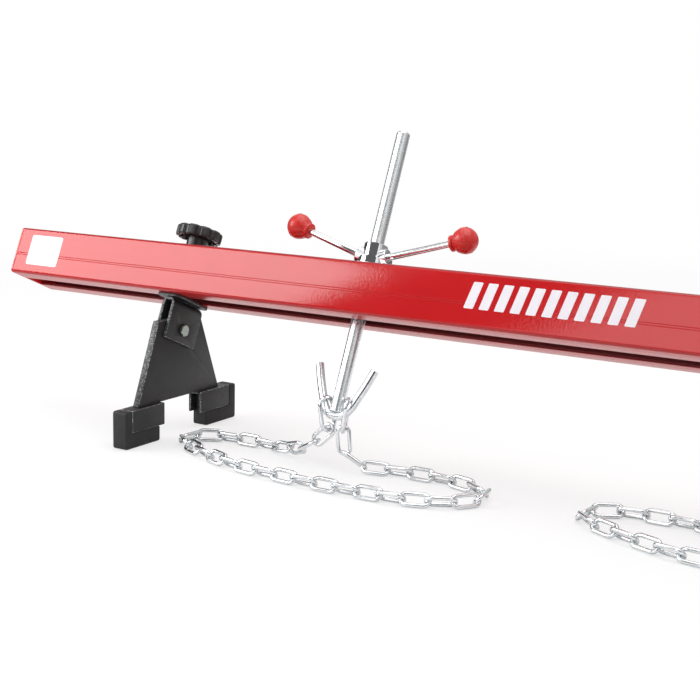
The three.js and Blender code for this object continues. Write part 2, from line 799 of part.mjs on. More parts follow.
// Each link's plane stands square to its neighbours'. On the floor the links lean to
// alternate sides, and on the way up to a ring they turn evenly into the ring's plane.
function linkAcross(directions, firstAcross, lastAcross) {
  const count = directions.length;
  const carried = [firstAcross.clone()];
  for (let i = 1; i < count; i += 1) {
    const turn = new THREE.Quaternion().setFromUnitVectors(directions[i - 1], directions[i]);
    carried.push(carried[i - 1].clone().applyQuaternion(turn));
  }
  const angleOf = (i, across) => {
    const side = new THREE.Vector3().crossVectors(directions[i], carried[i]);
    return Math.atan2(across.dot(side), across.dot(carried[i]));
  };
  const squareTo = (i, wireDirection) =>
    angleOf(i, new THREE.Vector3().crossVectors(directions[i], wireDirection).normalize());
  const known = new Map([
    [0, 0],
    [1, squareTo(1, firstAcross)],
  ]);
  for (let i = 2; i < count - 2; i += 1) {
    if (Math.abs(directions[i].z) > levelShare) continue;
    const level = new THREE.Vector3(-directions[i].y, directions[i].x, 0).normalize();
    const roll = i % 2 ? linkRoll : -linkRoll;
    known.set(i, angleOf(i, level.applyAxisAngle(directions[i], roll)));
  }
  known.set(count - 2, squareTo(count - 2, lastAcross));
  known.set(count - 1, angleOf(count - 1, lastAcross));
  const places = [...known.keys()];
  const angles = new Array(count).fill(0);
  for (let k = 1; k < places.length; k += 1) {
    const [from, to] = [places[k - 1], places[k]];
    const gap = to - from;
    const wanted = (gap * Math.PI) / 2;
    const plain = known.get(to) - angles[from];
    const change = plain + Math.PI * Math.round((wanted - plain) / Math.PI);
    for (let i = from + 1; i <= to; i += 1) angles[i] = angles[from] + (change * (i - from)) / gap;
  }
  return carried.map((across, i) => across.clone().applyAxisAngle(directions[i], angles[i]));
}

function placedLoop(geometry, middle, along, across) {
  const normal = new THREE.Vector3().crossVectors(along, across);
  const frame = new THREE.Matrix4().makeBasis(along, across, normal).setPosition(middle);
  return geometry.applyMatrix4(frame);
}

function chainUnit(side) {
  const group = new THREE.Group();
  const [first, last] = [endRing(-1), endRing(1)];
  const points = laidChain(first.lowWire, last.lowWire);
  const directions = [first.down.clone()];
  for (let link = 0; link < chainLinks; link += 1) {
    const [from, to] = [points[2 * link + 1], points[2 * link + 2]];
    directions.push(to.clone().sub(from).normalize());
  }
  directions.push(last.down.clone().negate());
  const across = linkAcross(directions, first.across, last.across);

  const names = side === "left" ? ["outer", "inner"] : ["inner", "outer"];
  [first, last].forEach((ring, i) => {
    const loop = wireLoop(ringInnerLength, ringInnerWidth, ringWire);
    const solid = solidOf(placedLoop(loop, ring.middle, ring.down, ring.across));
    group.add(piece(side + "_" + names[i] + "_end_ring", solid, zinc));
  });

  const runs = Array.from({ length: chainRuns }, () => []);
  for (let link = 0; link < chainLinks; link += 1) {
    const loop = wireLoop(linkInnerLength, linkInnerWidth, linkWire);
    const middle = points[2 * link + 1].clone().lerp(points[2 * link + 2], 1 / 2);
    const lengthways = directions[link + 1];
    runs[runOf(link)].push(solidOf(placedLoop(loop, middle, lengthways, across[link + 1])));
  }
  runs.forEach((links, i) => {
    group.add(piece(side + "_chain_run_" + (i + 1), joined(...links), zinc));
  });
  return group;
}

// The whole bar

function supportBar() {
  const stand = new THREE.Group();
  const leaning = new THREE.Group();
  leaning.position.z = pinHeight;
  leaning.rotation.x = -lean;
  stand.add(leaning);

  const onBeam = new THREE.Group();
  onBeam.position.z = pinDrop;
  leaning.add(onBeam);
  onBeam.add(beam());

  for (const [side, sign] of [
    ["left", -1],
    ["right", 1],
  ]) {
    const clamp = clampUnit(side);
    clamp.position.x = sign * footX;
    onBeam.add(clamp);

    const hook = hookUnit(side);
    hook.position.x = sign * hookX;
    onBeam.add(hook);

    const foot = footUnit(side);
    foot.position.set(sign * footX, 0, pinHeight);
    stand.add(foot);

    const chain = chainUnit(side);
    chain.position.x = sign * hookX;
    stand.add(chain);
  }

  // The origin is on the floor, under the middle of the whole bar.
  const bounds = new THREE.Box3().setFromObject(stand, true);
  stand.position.x = -(bounds.min.x + bounds.max.x) / 2;
  stand.position.y = -(bounds.min.y + bounds.max.y) / 2;
  const root = new THREE.Group();
  root.add(stand);
  return root;
}

export default supportBar();
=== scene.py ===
# %% [markdown]
# # An engine support bar, dressed in Blender
#
# A slotted red beam lies over two black feet and carries two screw hooks with chains. The
# construction comes as a fixed frame in metres. Here every visible piece gets its rounded
# edges, its threads and its paint, and rides on the body it belongs to.

# %% Load the frame
import json
import math

import bmesh
import bpy
from mathutils import Matrix, Vector


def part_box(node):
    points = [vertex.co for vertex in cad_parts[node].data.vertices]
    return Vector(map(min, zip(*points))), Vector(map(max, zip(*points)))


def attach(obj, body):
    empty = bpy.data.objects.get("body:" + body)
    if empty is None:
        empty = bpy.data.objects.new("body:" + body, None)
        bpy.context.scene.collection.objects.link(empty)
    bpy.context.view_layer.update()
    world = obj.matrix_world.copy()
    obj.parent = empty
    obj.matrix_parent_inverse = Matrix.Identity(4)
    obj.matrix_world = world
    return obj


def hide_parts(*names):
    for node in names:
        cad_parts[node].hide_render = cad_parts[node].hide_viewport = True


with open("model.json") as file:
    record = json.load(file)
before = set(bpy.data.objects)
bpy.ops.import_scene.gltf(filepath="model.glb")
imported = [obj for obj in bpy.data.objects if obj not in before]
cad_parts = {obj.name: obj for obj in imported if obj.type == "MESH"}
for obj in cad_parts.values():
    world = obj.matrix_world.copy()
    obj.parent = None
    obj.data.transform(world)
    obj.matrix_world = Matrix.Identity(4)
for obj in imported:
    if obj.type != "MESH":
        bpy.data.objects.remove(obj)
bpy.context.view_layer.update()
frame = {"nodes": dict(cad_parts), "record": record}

body_of = {n: b for b, nodes in frame["record"]["behaviour"]["bodies"].items() for n in nodes}

# %% [markdown]
# ## Where things are
#
# The feet stand upright, and the beam with its screws leans back over the foot pins. Pieces of
# the beam are drawn as if the beam were level, with heights counted from its underside, and one
# matrix leans them. Sizes are written in millimetres and multiplied by one thousandth.

# %% Places and frames
MM = 0.001
PIN_HEIGHT = 126.5
PIN_DROP = 37.2
LEAN = math.radians(23.5405)
BEAM_LENGTH = 1500
BEAM_HEIGHT = 60
FOOT_X = 496
HOOK_X = 250
STUD_OFFSET = 4

low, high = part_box("left_foot_plate")
middle_y = (low.y + high.y) / 2
stand_place = Matrix.Translation((0, middle_y, 0))
beam_place = (
    Matrix.Translation((0, middle_y, PIN_HEIGHT * MM))
    @ Matrix.Rotation(-LEAN, 4, "X")
    @ Matrix.Translation((0, 0, PIN_DROP * MM))
)
SIDES = (("left", -1), ("right", 1))
print("middle of the bar", round(middle_y, 5))


def new_object(name, data):
    """An object in the scene, for a mesh, a lamp or the camera."""
    obj = bpy.data.objects.new(name, data)
    bpy.context.scene.collection.objects.link(obj)
    return obj


def on_beam(x, y=0, z=0):
    """A place on the level beam, in millimetres, as a matrix that leans with it."""
    return beam_place @ Matrix.Translation((x * MM, y * MM, z * MM))


# %% [markdown]
# ## Camera
#
# The photograph looks along the bar from the front right, a little from above, with a long lens.
# The camera's axes were worked out from the beam's edges and the upright foot.

# %% Camera
CAMERA_PLACE = (0.5218, -1.2549, 0.4125)
CAMERA_LENS = 69.45

right = Vector((0.8489, 0.5280, 0.0232)).normalized()
forward = Vector((-0.5151, 0.8364, -0.1877)).normalized()
up = right.cross(forward).normalized()
camera_data = bpy.data.cameras.new("photo_camera")
camera_data.sensor_width = 36
camera_data.lens = CAMERA_LENS
camera_data.clip_start = 0.01
camera_data.clip_end = 60
camera = new_object("photo_camera", camera_data)
axes = Matrix((right, up, -forward)).transposed().to_4x4()
camera.matrix_world = Matrix.Translation(CAMERA_PLACE) @ axes
bpy.context.scene.camera = camera
bpy.context.scene.view_settings.view_transform = "Standard"
print("camera looks along", tuple(round(v, 3) for v in forward))

# %% [markdown]
# ## Node graphs as expressions
#
# Materials and Geometry Nodes are both graphs. A small class wraps one output of a node, so that
# sums and products of outputs are plain Python, and one method adds any node.


# %% A wrapper for node graphs
class Wire:
    """One output of a node. Arithmetic on it adds Math nodes."""

    def __init__(self, graph, socket):
        self.graph = graph
        self.socket = socket

    def out(self, name):
        return Wire(self.graph, self.socket.node.outputs[name])

    def math(self, operation, first, second):
        return self.graph.node("ShaderNodeMath", {"operation": operation}, {0: first, 1: second})

    def __add__(self, other):
        return self.math("ADD", self, other)

    def __sub__(self, other):
        return self.math("SUBTRACT", self, other)

    def __rsub__(self, other):
        return self.math("SUBTRACT", other, self)

    def __mul__(self, other):
        return self.math("MULTIPLY", self, other)

    __radd__ = __add__
    __rmul__ = __mul__

    def at_most(self, other):
        return self.math("MINIMUM", self, other)


class Graph:
    """A node tree that is filled by calls."""

    def __init__(self, tree):
        self.tree = tree

    def node(self, kind, settings=None, sockets=None, out=0):
        made = self.tree.nodes.new(kind)
        for name, value in (settings or {}).items():
            setattr(made, name, value)
        for key, value in (sockets or {}).items():
            if isinstance(value, Wire):
                self.tree.links.new(value.socket, made.inputs[key])
            else:
                made.inputs[key].default_value = value
        return Wire(self, made.outputs[out]) if made.outputs else None

    def ramp(self, value, stops):
        """A soft step. The stops are the two ends of what it reads and what it gives there."""
        sockets = dict(enumerate((value, *stops)))
        return self.node("ShaderNodeMapRange", {"interpolation_type": "SMOOTHSTEP"}, sockets)

    def mix(self, share, first, second):
        """Colour from first to second as share goes from 0 to 1."""
        return self.node(
            "ShaderNodeMix", {"data_type": "RGBA"}, {0: share, 6: first, 7: second}, out=2
        )


def tint(red, green, blue):
    """A colour written in screen values from 0 to 255, as the linear values that nodes take."""
    linear = []
    for value in (red, green, blue):
        share = value / 255
        linear.append(share / 12.92 if share <= 0.04045 else ((share + 0.055) / 1.055) ** 2.4)
    return (*linear, 1.0)


# %% [markdown]
# ## Light, floor and surroundings
#
# The picture was taken on white ground with soft boxes. One box stands at the front left, where
# the beam's glossy face mirrors it as a pale field that ends near the first screw. The ground
# shows as white and keeps the soft shadows under the chains. Behind the camera the room is
# darker. Mirrors also see dark screens all round, which give bright metal its dark lines, and
# one bright screen that shows as a second pale field on the right part of the beam. Close above
# the horizon the mirrored room is dim, so level wires get a thin dark line too.


# %% World
LIGHT_FROM_AHEAD = (-0.35, 0.25, 0.3, 0.95)
MIRRORED_LIGHT = 0.96
MIRRORED_BY_HEIGHT = (0.05, 0.3, 0.25, 1.0)
# Each screen's start and end as bearings in degrees, and the share of light that it shows.
SCREENS = (
    (-128, -117, 0.12),
    (-116.4, -95, 2.5),
    (-84, -40, 0.12),
    (-14, 112, 0.65),
    (140, 185, 0.25),
    (-185, -166, 0.25),
)
SCREEN_EDGE = math.radians(1.2)

world = bpy.data.worlds.new("studio")
world.use_nodes = True
world.node_tree.nodes.clear()
graph = Graph(world.node_tree)
ray = graph.node("ShaderNodeLightPath")
direction = graph.node("ShaderNodeTexCoord", out="Generated")
parts = graph.node("ShaderNodeSeparateXYZ", {}, {0: direction})
ahead = graph.ramp(parts.out("Y"), LIGHT_FROM_AHEAD)
bearing = parts.math("ARCTAN2", parts.out("Y"), parts.out("X"))
mirrored = MIRRORED_LIGHT * graph.ramp(parts.out("Z"), MIRRORED_BY_HEIGHT)
for start, end, share in SCREENS:
    first, last = math.radians(start), math.radians(end)
    rise = graph.ramp(bearing, (first - SCREEN_EDGE, first + SCREEN_EDGE, 0.0, 1.0))
    fall = graph.ramp(bearing, (last - SCREEN_EDGE, last + SCREEN_EDGE, 1.0, 0.0))
    mirrored = mirrored * (1 + (share - 1) * rise * fall)
shown = ray.out("Is Camera Ray")
glossy = ray.out("Is Glossy Ray")
level = shown + (1 - shown) * (glossy * mirrored + (1 - glossy) * ahead)
background = graph.node("ShaderNodeBackground", {}, {"Color": (1, 1, 1, 1), "Strength": level})
graph.node("ShaderNodeOutputWorld", {}, {"Surface": background})
bpy.context.scene.world = world


# %% Soft boxes
def soft_box(name, place, aim, width, height, brightness):
    """A rectangular lamp. Its brightness is that of its own face, where 1 is paper white."""
    lamp = bpy.data.lights.new(name, "AREA")
    lamp.shape = "RECTANGLE"
    lamp.size = width
    lamp.size_y = height
    lamp.energy = brightness * math.pi * width * height
    obj = new_object(name, lamp)
    look = (Vector(aim) - Vector(place)).to_track_quat("-Z", "Y")
    obj.matrix_world = Matrix.Translation(place) @ look.to_matrix().to_4x4()
    obj.visible_camera = False


# Name, place, aim, width, height and brightness.
SOFT_BOXES = (
    ("left_soft_box", (-1.61, -0.82, 0.85), (-0.61, 0.16, 0.15), 1.13, 0.85, 5.2),
    ("top_soft_box", (0.1, 0.1, 2.1), (0.0, 0.0, 0.0), 2.6, 1.8, 1.9),
    ("right_soft_box", (1.1, -1.7, 1.5), (0.4, 0.0, 0.15), 0.7, 0.7, 1.0),
)
for box in SOFT_BOXES:
    soft_box(*box)
print("lamps", len(SOFT_BOXES))

# %% Floor
# The ground is matte and white. By distance in metres it turns into plain white for the camera,
# and for mirrors into grey.
FLOOR_REACH = 20
FLOOR_DROP = MM / 2
WHITE_BY_DISTANCE = (0.8, 2.6, 0.62, 1.0)
GREY_BY_DISTANCE = (0.7, 1.6, 0.0, 1.0)

around = ((-1, -1), (1, -1), (1, 1), (-1, 1))
corners = [(x * FLOOR_REACH, y * FLOOR_REACH, -FLOOR_DROP) for x, y in around]
floor_mesh = bpy.data.meshes.new("floor")
floor_mesh.from_pydata(corners, [], [(0, 1, 2, 3)])
floor = new_object("floor", floor_mesh)
ground = bpy.data.materials.new("white_ground")
ground.use_nodes = True
ground.node_tree.nodes.clear()
graph = Graph(ground.node_tree)
ray = graph.node("ShaderNodeLightPath")
spot = graph.node("ShaderNodeTexCoord", out="Object")
far = graph.node("ShaderNodeVectorMath", {"operation": "LENGTH"}, {0: spot}, out=1)
shown = (ray.out("Is Camera Ray") + ray.out("Is Transmission Ray")).at_most(1)
matte = graph.node("ShaderNodeBsdfDiffuse", {}, {"Color": (0.88, 0.88, 0.88, 1)})
white = graph.node("ShaderNodeEmission", {}, {"Color": (1, 1, 1, 1), "Strength": 1.0})
whitened = shown * graph.ramp(far, WHITE_BY_DISTANCE)
both = graph.node("ShaderNodeMixShader", {}, {0: whitened, 1: matte, 2: white})
dimmer = graph.node("ShaderNodeEmission", {}, {"Color": (0.3, 0.3, 0.31, 1), "Strength": 1.0})
greyed = ray.out("Is Glossy Ray") * graph.ramp(far, GREY_BY_DISTANCE)
both = graph.node("ShaderNodeMixShader", {}, {0: greyed, 1: both, 2: dimmer})
graph.node("ShaderNodeOutputMaterial", {}, {"Surface": both})
floor_mesh.materials.append(ground)


# %% [markdown]
# ## Finishes
#
# Every finish starts from the same few parts: a pattern read from the object's own coordinates,
# a shader, and a bump. A pattern's grain is given as its size in millimetres.


# %% Parts that all finishes share
class Finish(Graph):
    """A material under construction."""

    def __init__(self, name):
        self.material = bpy.data.materials.new(name)
        self.material.use_nodes = True
        self.material.node_tree.nodes.clear()
        super().__init__(self.material.node_tree)
        self.place = self.node("ShaderNodeTexCoord", out="Object")

    def grain(self, size, detail=2, stretch=None):
        """Cloudy noise from 0 to 1, with lumps of a size in millimetres."""
        place = self.place
        if stretch:
            place = self.node("ShaderNodeMapping", {}, {"Vector": place, "Scale": stretch})
        sockets = {"Vector": place, "Scale": 1 / (size * MM), "Detail": detail}
        return self.node("ShaderNodeTexNoise", {"noise_dimensions": "3D"}, sockets)

    def bump(self, height, depth, strength):
        """A bump whose full height is a depth in millimetres."""
        sockets = {"Height": height, "Distance": depth * MM, "Strength": strength}
        return self.node("ShaderNodeBump", {}, sockets)

    def done(self, **sockets):
        named = {key.replace("_", " "): value for key, value in sockets.items()}
        shader = self.node("ShaderNodeBsdfPrincipled", {}, named)
        self.node("ShaderNodeOutputMaterial", {}, {"Surface": shader})
        return self.material


def clouded(name, tints, drift, gloss, relief, metallic=0.0):
    """A finish that drifts between two tints. Every grain is a size and a detail. Gloss starts
    with the least roughness and what its grain adds. Relief ends with a depth and a strength."""
    finish = Finish(name)
    first, second = (tint(*values) for values in tints)
    least, added, *dull = gloss
    *fine, depth, strength = relief
    return finish.done(
        Base_Color=finish.mix(finish.grain(*drift), first, second),
        Metallic=metallic,
        Roughness=least + added * finish.grain(*dull),
        Normal=finish.bump(finish.grain(*fine), depth, strength),
    )


# %% [markdown]
# ### Red enamel
#
# The beam is sprayed with a glossy red enamel. It is never quite flat: the fine orange peel
# breaks the edge of a mirrored lamp into sparkles, and long faint waves come from the rolled
# sheet below. Noise of two sizes feeds one bump, and the colour drifts very slightly. Faces
# marked with an attribute get painted shade, dark red and duller: fully within the channels and
# on the slot's edges, and partly on the underside and on the rounded top edges.

# %% Red enamel
finish = Finish("red_enamel")
drift = finish.grain(60, 3)
peel = finish.grain(2.2, 1)
waves = finish.grain(24, 2, (0.35, 1.0, 1.0))
# Painted shade: an attribute marks the faces that turn dark red and duller.
painted_shade = finish.node("ShaderNodeAttribute", {"attribute_name": "painted_shade"}, {}, out="Fac")
colour = finish.mix(drift, tint(193, 26, 30), tint(207, 32, 36))
colour = finish.mix(painted_shade, colour, tint(112, 16, 20))
gloss = 0.05 + 0.05 * finish.grain(9, 3) + 0.4 * painted_shade
red_enamel = finish.done(
    Base_Color=colour,
    Roughness=gloss,
    Normal=finish.bump(peel * 0.75 + waves, 0.10, 0.8),
)

# %% [markdown]
# ### Black paint
#
# The feet and their clevises are cut and bent steel under a thin satin black. Where sheets were
# cut or folded the paint is rubbed and the grey steel looks through. Bevelled faces carry an
# attribute called wear, and noise breaks it into patches.

# %% Black paint
finish = Finish("black_paint")
rub = finish.node("ShaderNodeAttribute", {"attribute_name": "wear"}, {}, out="Fac")
patch = finish.ramp(finish.grain(1.8, 3), (0.44, 0.64, 0.0, 1.0))
bare = rub * patch
skin = finish.mix(finish.grain(18, 3), tint(27, 27, 28), tint(39, 39, 40))
black_paint = finish.done(
    Base_Color=finish.mix(bare, skin, tint(176, 178, 180)),
    Metallic=bare * 0.8,
    Roughness=0.38 + 0.18 * finish.grain(6, 3) - 0.1 * bare,
    Normal=finish.bump(finish.grain(0.9, 2) + 0.6 * finish.grain(5, 2), 0.08, 0.5),
)

# %% [markdown]
# ### Rubber and plastics
#
# The pads are moulded rubber, dull with a fine grain. The knobs are a harder black plastic with
# a soft sheen, and the balls on the turning arms are glossy red plastic with faint flow marks.

# %% Rubber and plastics
finish = Finish("black_rubber")
black_rubber = finish.done(
    Base_Color=finish.mix(finish.grain(14, 3), tint(23, 23, 24), tint(34, 34, 34)),
    Roughness=0.5 + 0.25 * finish.grain(4, 3),
    Normal=finish.bump(finish.grain(0.7, 2) + finish.grain(7, 2), 0.1, 0.5),
)

tints = ((38, 37, 38), (50, 49, 50))
black_plastic = clouded("black_plastic", tints, (9, 3), (0.2, 0.12, 3, 3), (1.5, 2, 0.03, 0.5))
tints = ((204, 40, 36), (216, 52, 46))
red_plastic = clouded("red_plastic", tints, (12, 3), (0.24, 0.1, 9, 2), (14, 1, 0.04, 0.15))

# %% [markdown]
# ### Plated steel
#
# Hooks and chains are bright zinc: pale, slightly blue, with cloudy patches that are a little
# duller. The spindles are rolled, which leaves their zinc softer. The pivot bolts have a duller,
# greener zinc. The nut and its arms are chromed, which is nearly a mirror with fine wiping marks.

# %% Plated steel
METAL = 1.0
tints = ((216, 222, 225), (242, 244, 245))
bright_zinc = clouded("bright_zinc", tints, (7, 3), (0.1, 0.18, 3.5, 3), (2.4, 2, 0.04, 0.3), METAL)
tints = ((222, 227, 229), (242, 244, 245))
rolled_zinc = clouded("rolled_zinc", tints, (9, 3), (0.22, 0.1, 4, 2), (3, 2, 0.03, 0.4), METAL)
tints = ((150, 158, 152), (184, 190, 184))
dull_zinc = clouded("dull_zinc", tints, (4, 3), (0.3, 0.2, 3, 3), (1.4, 2, 0.05, 0.5), METAL)
tints = ((228, 229, 232), (246, 246, 247))
chrome = clouded("chrome", tints, (10, 3), (0.04, 0.08, 5, 4), (8, 2, 0.04, 0.4), METAL)

# %% [markdown]
# ### White print
#
# The label and the slanted bars on the front face are plain film, a slightly cool white and a
# little less glossy than the enamel.

# %% White print
tints = ((238, 232, 240), (247, 244, 248))
white_film = clouded("white_film", tints, (15, 3), (0.3, 0.12, 6, 2), (3, 2, 0.03, 0.4))
print("materials", len(bpy.data.materials))

# %% [markdown]
# ### Slots
#
# Each piece's mesh gets one material slot, which its finish fills. The film lies on the red paint.


# %% [markdown]
# ## Shaping tools
#
# Sheet pieces are outlines drawn out along an axis, with their corners rounded first. Turned
# pieces are profiles spun round an axis. Both get their sharp edges softened, because no made
# edge is perfectly sharp and the thin highlight along it looks real.


# %% Outlines
def rounded(corners, steps):
    """Points of a closed outline. Each corner is (a, b, radius) in millimetres."""
    points = []
    count = len(corners)
    for i, (a, b, radius) in enumerate(corners):
        here = Vector((a, b))
        if not radius:
            points.append(here)
            continue
        before = Vector(corners[i - 1][:2]) - here
        after = Vector(corners[(i + 1) % count][:2]) - here
        half = before.angle(after) / 2
        back, on = before.normalized(), after.normalized()
        start = here + back * radius / math.tan(half)
        centre = here + (back + on).normalized() * radius / math.sin(half)
        arm = start - centre
        turn = math.pi - 2 * half
        sign = 1 if before.x * after.y - before.y * after.x < 0 else -1
        for step in range(steps + 1):
            angle = sign * turn * step / steps
            cosine, sine = math.cos(angle), math.sin(angle)
            swung = (arm.x * cosine - arm.y * sine, arm.x * sine + arm.y * cosine)
            points.append(centre + Vector(swung))
    return points


AXES = {
    "x": lambda a, b, along: (along, a, b),
    "y": lambda a, b, along: (a, along, b),
    "z": lambda a, b, along: (a, b, along),
}


def drawn_out(outline, start, end, axis):
    """A closed prism: the outline, in millimetres, drawn out along an axis."""
    bm = bmesh.new()
    ends = []
    for along in (start, end):
        ends.append([bm.verts.new(Vector(AXES[axis](a, b, along)) * MM) for a, b in outline])
    bm.faces.new(ends[0])
    bm.faces.new(reversed(ends[1]))
    count = len(outline)
    for i in range(count):
        j = (i + 1) % count
        bm.faces.new((ends[0][j], ends[0][i], ends[1][i], ends[1][j]))
    bmesh.ops.recalc_face_normals(bm, faces=bm.faces)
    return bm


# %% Turned shapes
def turned(profile, sides, swell=None):
    """A closed solid: (radius, height) pairs in millimetres, spun round Z. A profile that does
    not begin and end on the axis is a ring. The swell may change a radius by its angle."""
    bm = bmesh.new()
    rings = []
    for radius, height in profile:
        if radius == 0:
            rings.append([bm.verts.new((0, 0, height * MM))])
            continue
        ring = []
        for i in range(sides):
            angle = 2 * math.pi * i / sides
            out = swell(radius, height, angle) if swell else radius
            place = Vector((out * math.cos(angle), out * math.sin(angle), height))
            ring.append(bm.verts.new(place * MM))
        rings.append(ring)
    is_ring = profile[0][0] > 0 and profile[-1][0] > 0
    pairs = list(zip(rings, rings[1:])) + ([(rings[-1], rings[0])] if is_ring else [])
    for lower, upper in pairs:
        for i in range(sides):
            j = (i + 1) % sides
            corners = [lower[i % len(lower)], lower[j % len(lower)]]
            corners += [upper[j % len(upper)], upper[i % len(upper)]]
            unique = list(dict.fromkeys(corners))
            if len(unique) > 2:
                bm.faces.new(unique)
    bmesh.ops.recalc_face_normals(bm, faces=bm.faces)
    return bm


def eased(profile, radius, steps=3):
    """The profile with its inner corners rounded by a small radius in millimetres."""
    points = [profile[0]]
    for before, here, after in zip(profile, profile[1:], profile[2:]):
        here_v = Vector(here)
        back, on = Vector(before) - here_v, Vector(after) - here_v
        cut = min(radius, back.length / 2.2, on.length / 2.2)
        first, last = here_v + back.normalized() * cut, here_v + on.normalized() * cut
        for step in range(steps + 1):
            share = step / steps
            point = first * (1 - share) ** 2 + here_v * 2 * share * (1 - share) + last * share**2
            points.append((max(point.x, 0.0), point.y))
    points.append(profile[-1])
    return points


def plain_bar(radius, start, end):
    """The profile of a round bar."""
    return [(0, start), (radius, start), (radius, end), (0, end)]


def washer(bore, rim, start, end):
    """A flat ring with its edges rounded."""
    profile = [(bore, start), (rim, start), (rim, end), (bore, end), (bore, start)]
    return turned(eased(profile, 0.5)[:-1], 64)


# %% Softened edges
SHARP = 38
CUT_WEAR = 0.4


def soften(bm, width, segments=2):
    """Bevels the sharp edges and marks their new faces with wear."""
    wear = bm.faces.layers.float.get("wear") or bm.faces.layers.float.new("wear")
    limit = math.radians(SHARP)
    edges = [e for e in bm.edges if len(e.link_faces) == 2 and e.calc_face_angle(0) > limit]
    made = bmesh.ops.bevel(
        bm,
        geom=edges,
        offset=width * MM,
        segments=segments,
        profile=0.5,
        affect="EDGES",
        clamp_overlap=True,
    )
    for face in made["faces"]:
        face[wear] = 1.0
    return bm


def with_cut_faces(bm, is_cut):
    """Gives a sheet's cut faces some wear. They are those whose normal passes the test."""
    wear = bm.faces.layers.float.get("wear")
    for face in bm.faces:
        if is_cut(face.normal):
            face[wear] = CUT_WEAR
    return bm


# %% Shapes combined
def loose_object(bm, name="blank"):
    """An object that holds the shape, which is used up."""
    obj = new_object(name, bpy.data.meshes.new(name))
    bm.to_mesh(obj.data)
    bm.free()
    return obj


def applied(obj, *helpers):
    """The object's mesh after its modifiers. The object and its helpers are removed."""
    bpy.context.view_layer.update()
    graph = bpy.context.evaluated_depsgraph_get()
    mesh = bpy.data.meshes.new_from_object(obj.evaluated_get(graph))
    for used in (obj, *helpers):
        bpy.data.objects.remove(used)
    return mesh


def combined(operation, first, *others):
    """The first shape after exact Boolean operations with the others, which are used up."""
    obj = loose_object(first)
    helpers = [loose_object(other, "helper") for other in others]
    for helper in helpers:
        cutter = obj.modifiers.new("combine", "BOOLEAN")
        cutter.object = helper
        cutter.operation = operation
        cutter.solver = "EXACT"
    bm = bmesh.new()
    bm.from_mesh(applied(obj, *helpers))
    return bm


def laid(bm, matrix):
    """The shape after it is moved by the matrix."""
    bmesh.ops.transform(bm, matrix=matrix, verts=bm.verts)
    return bm


def cad_copy(node):
    """A CAD node's shape with its loose triangles merged into faces."""
    bm = bmesh.new()
    bm.from_mesh(frame["nodes"][node].data)
    bmesh.ops.remove_doubles(bm, verts=bm.verts, dist=MM / 500)
    flat = math.radians(1)
    bmesh.ops.dissolve_limit(bm, angle_limit=flat, verts=bm.verts, edges=bm.edges)
    return bm


# %% Finished pieces
def settled(name, bm, material, nodes, smooth=SHARP, body=None):
    """Turns a shape that lies in its place into a finished piece that stands for its CAD nodes."""
    bmesh.ops.remove_doubles(bm, verts=bm.verts, dist=MM / 1000)
    bmesh.ops.recalc_face_normals(bm, faces=bm.faces)
    mesh = bpy.data.meshes.new(name)
    bm.to_mesh(mesh)
    bm.free()
    placed_piece(name, mesh, material, nodes, smooth, body)


def placed_piece(name, mesh, material, nodes, smooth=SHARP, body=None):
    """The same for a mesh. Edges that turn by more than smooth degrees stay sharp."""
    mesh.shade_smooth()
    mesh.set_sharp_from_angle(angle=math.radians(smooth))
    mesh.materials.clear()
    mesh.materials.append(material)
    obj = new_object(name, mesh)
    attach(obj, body or body_of[nodes[0]])
    if nodes:
        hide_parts(*nodes)


# %% [markdown]
# ## The beam
#
# Two rolled channels face each other and leave a slot between their lips, at the top and at the
# bottom. Each is one outline drawn out along the beam. Two fine creases run along the outer
# face, a little below its middle, and they are cut into the outline so that light catches them.
# The attribute that marks painted shade is full within the channels and on the slot's edges.
# The underside and the rounded top edges get a share of it, so they are painted darker too.

# %% Channels
SLOT_HALF = 14.5
FACE = 41
WALL = 3
CORNER = 4
SHEET_EDGE = 0.6
CREASES = (24.0, 26.4)
CREASE_HALF = 0.45
CREASE_DEPTH = 0.4
END_PLATE = 3
SEAM = 0.3
SLIVER = 0.1
# Shares of painted shade on the underside and on the rounded top edges.
UNDER_SHADE_SHARE = 0.4
TOP_EDGE_SHADE_SHARE = 0.6
# The upward part of a normal from which a face counts as tilted, and as flat.
TILTED = 0.35
FLAT = 0.98

outline = rounded(
    [
        (-SLOT_HALF, 0, SHEET_EDGE),
        (-FACE, 0, CORNER),
        (-FACE, BEAM_HEIGHT, CORNER),
        (-SLOT_HALF, BEAM_HEIGHT, SHEET_EDGE),
        (-SLOT_HALF, BEAM_HEIGHT - WALL, SHEET_EDGE),
        (-FACE + WALL, BEAM_HEIGHT - WALL, CORNER - WALL),
        (-FACE + WALL, WALL, CORNER - WALL),
        (-SLOT_HALF, WALL, SHEET_EDGE),
    ],
    8,
)
creased = []
for here, after in zip(outline, outline[1:] + outline[:1]):
    creased.append(here)
    if here.x < -FACE + MM and after.x < -FACE + MM and after.y > CREASES[1]:
        for crease in CREASES:
            for step, inwards in ((-1, 0), (0, CREASE_DEPTH), (1, 0)):
                creased.append(Vector((-FACE + inwards, crease + step * CREASE_HALF)))
half_run = BEAM_LENGTH / 2 - END_PLATE - SEAM
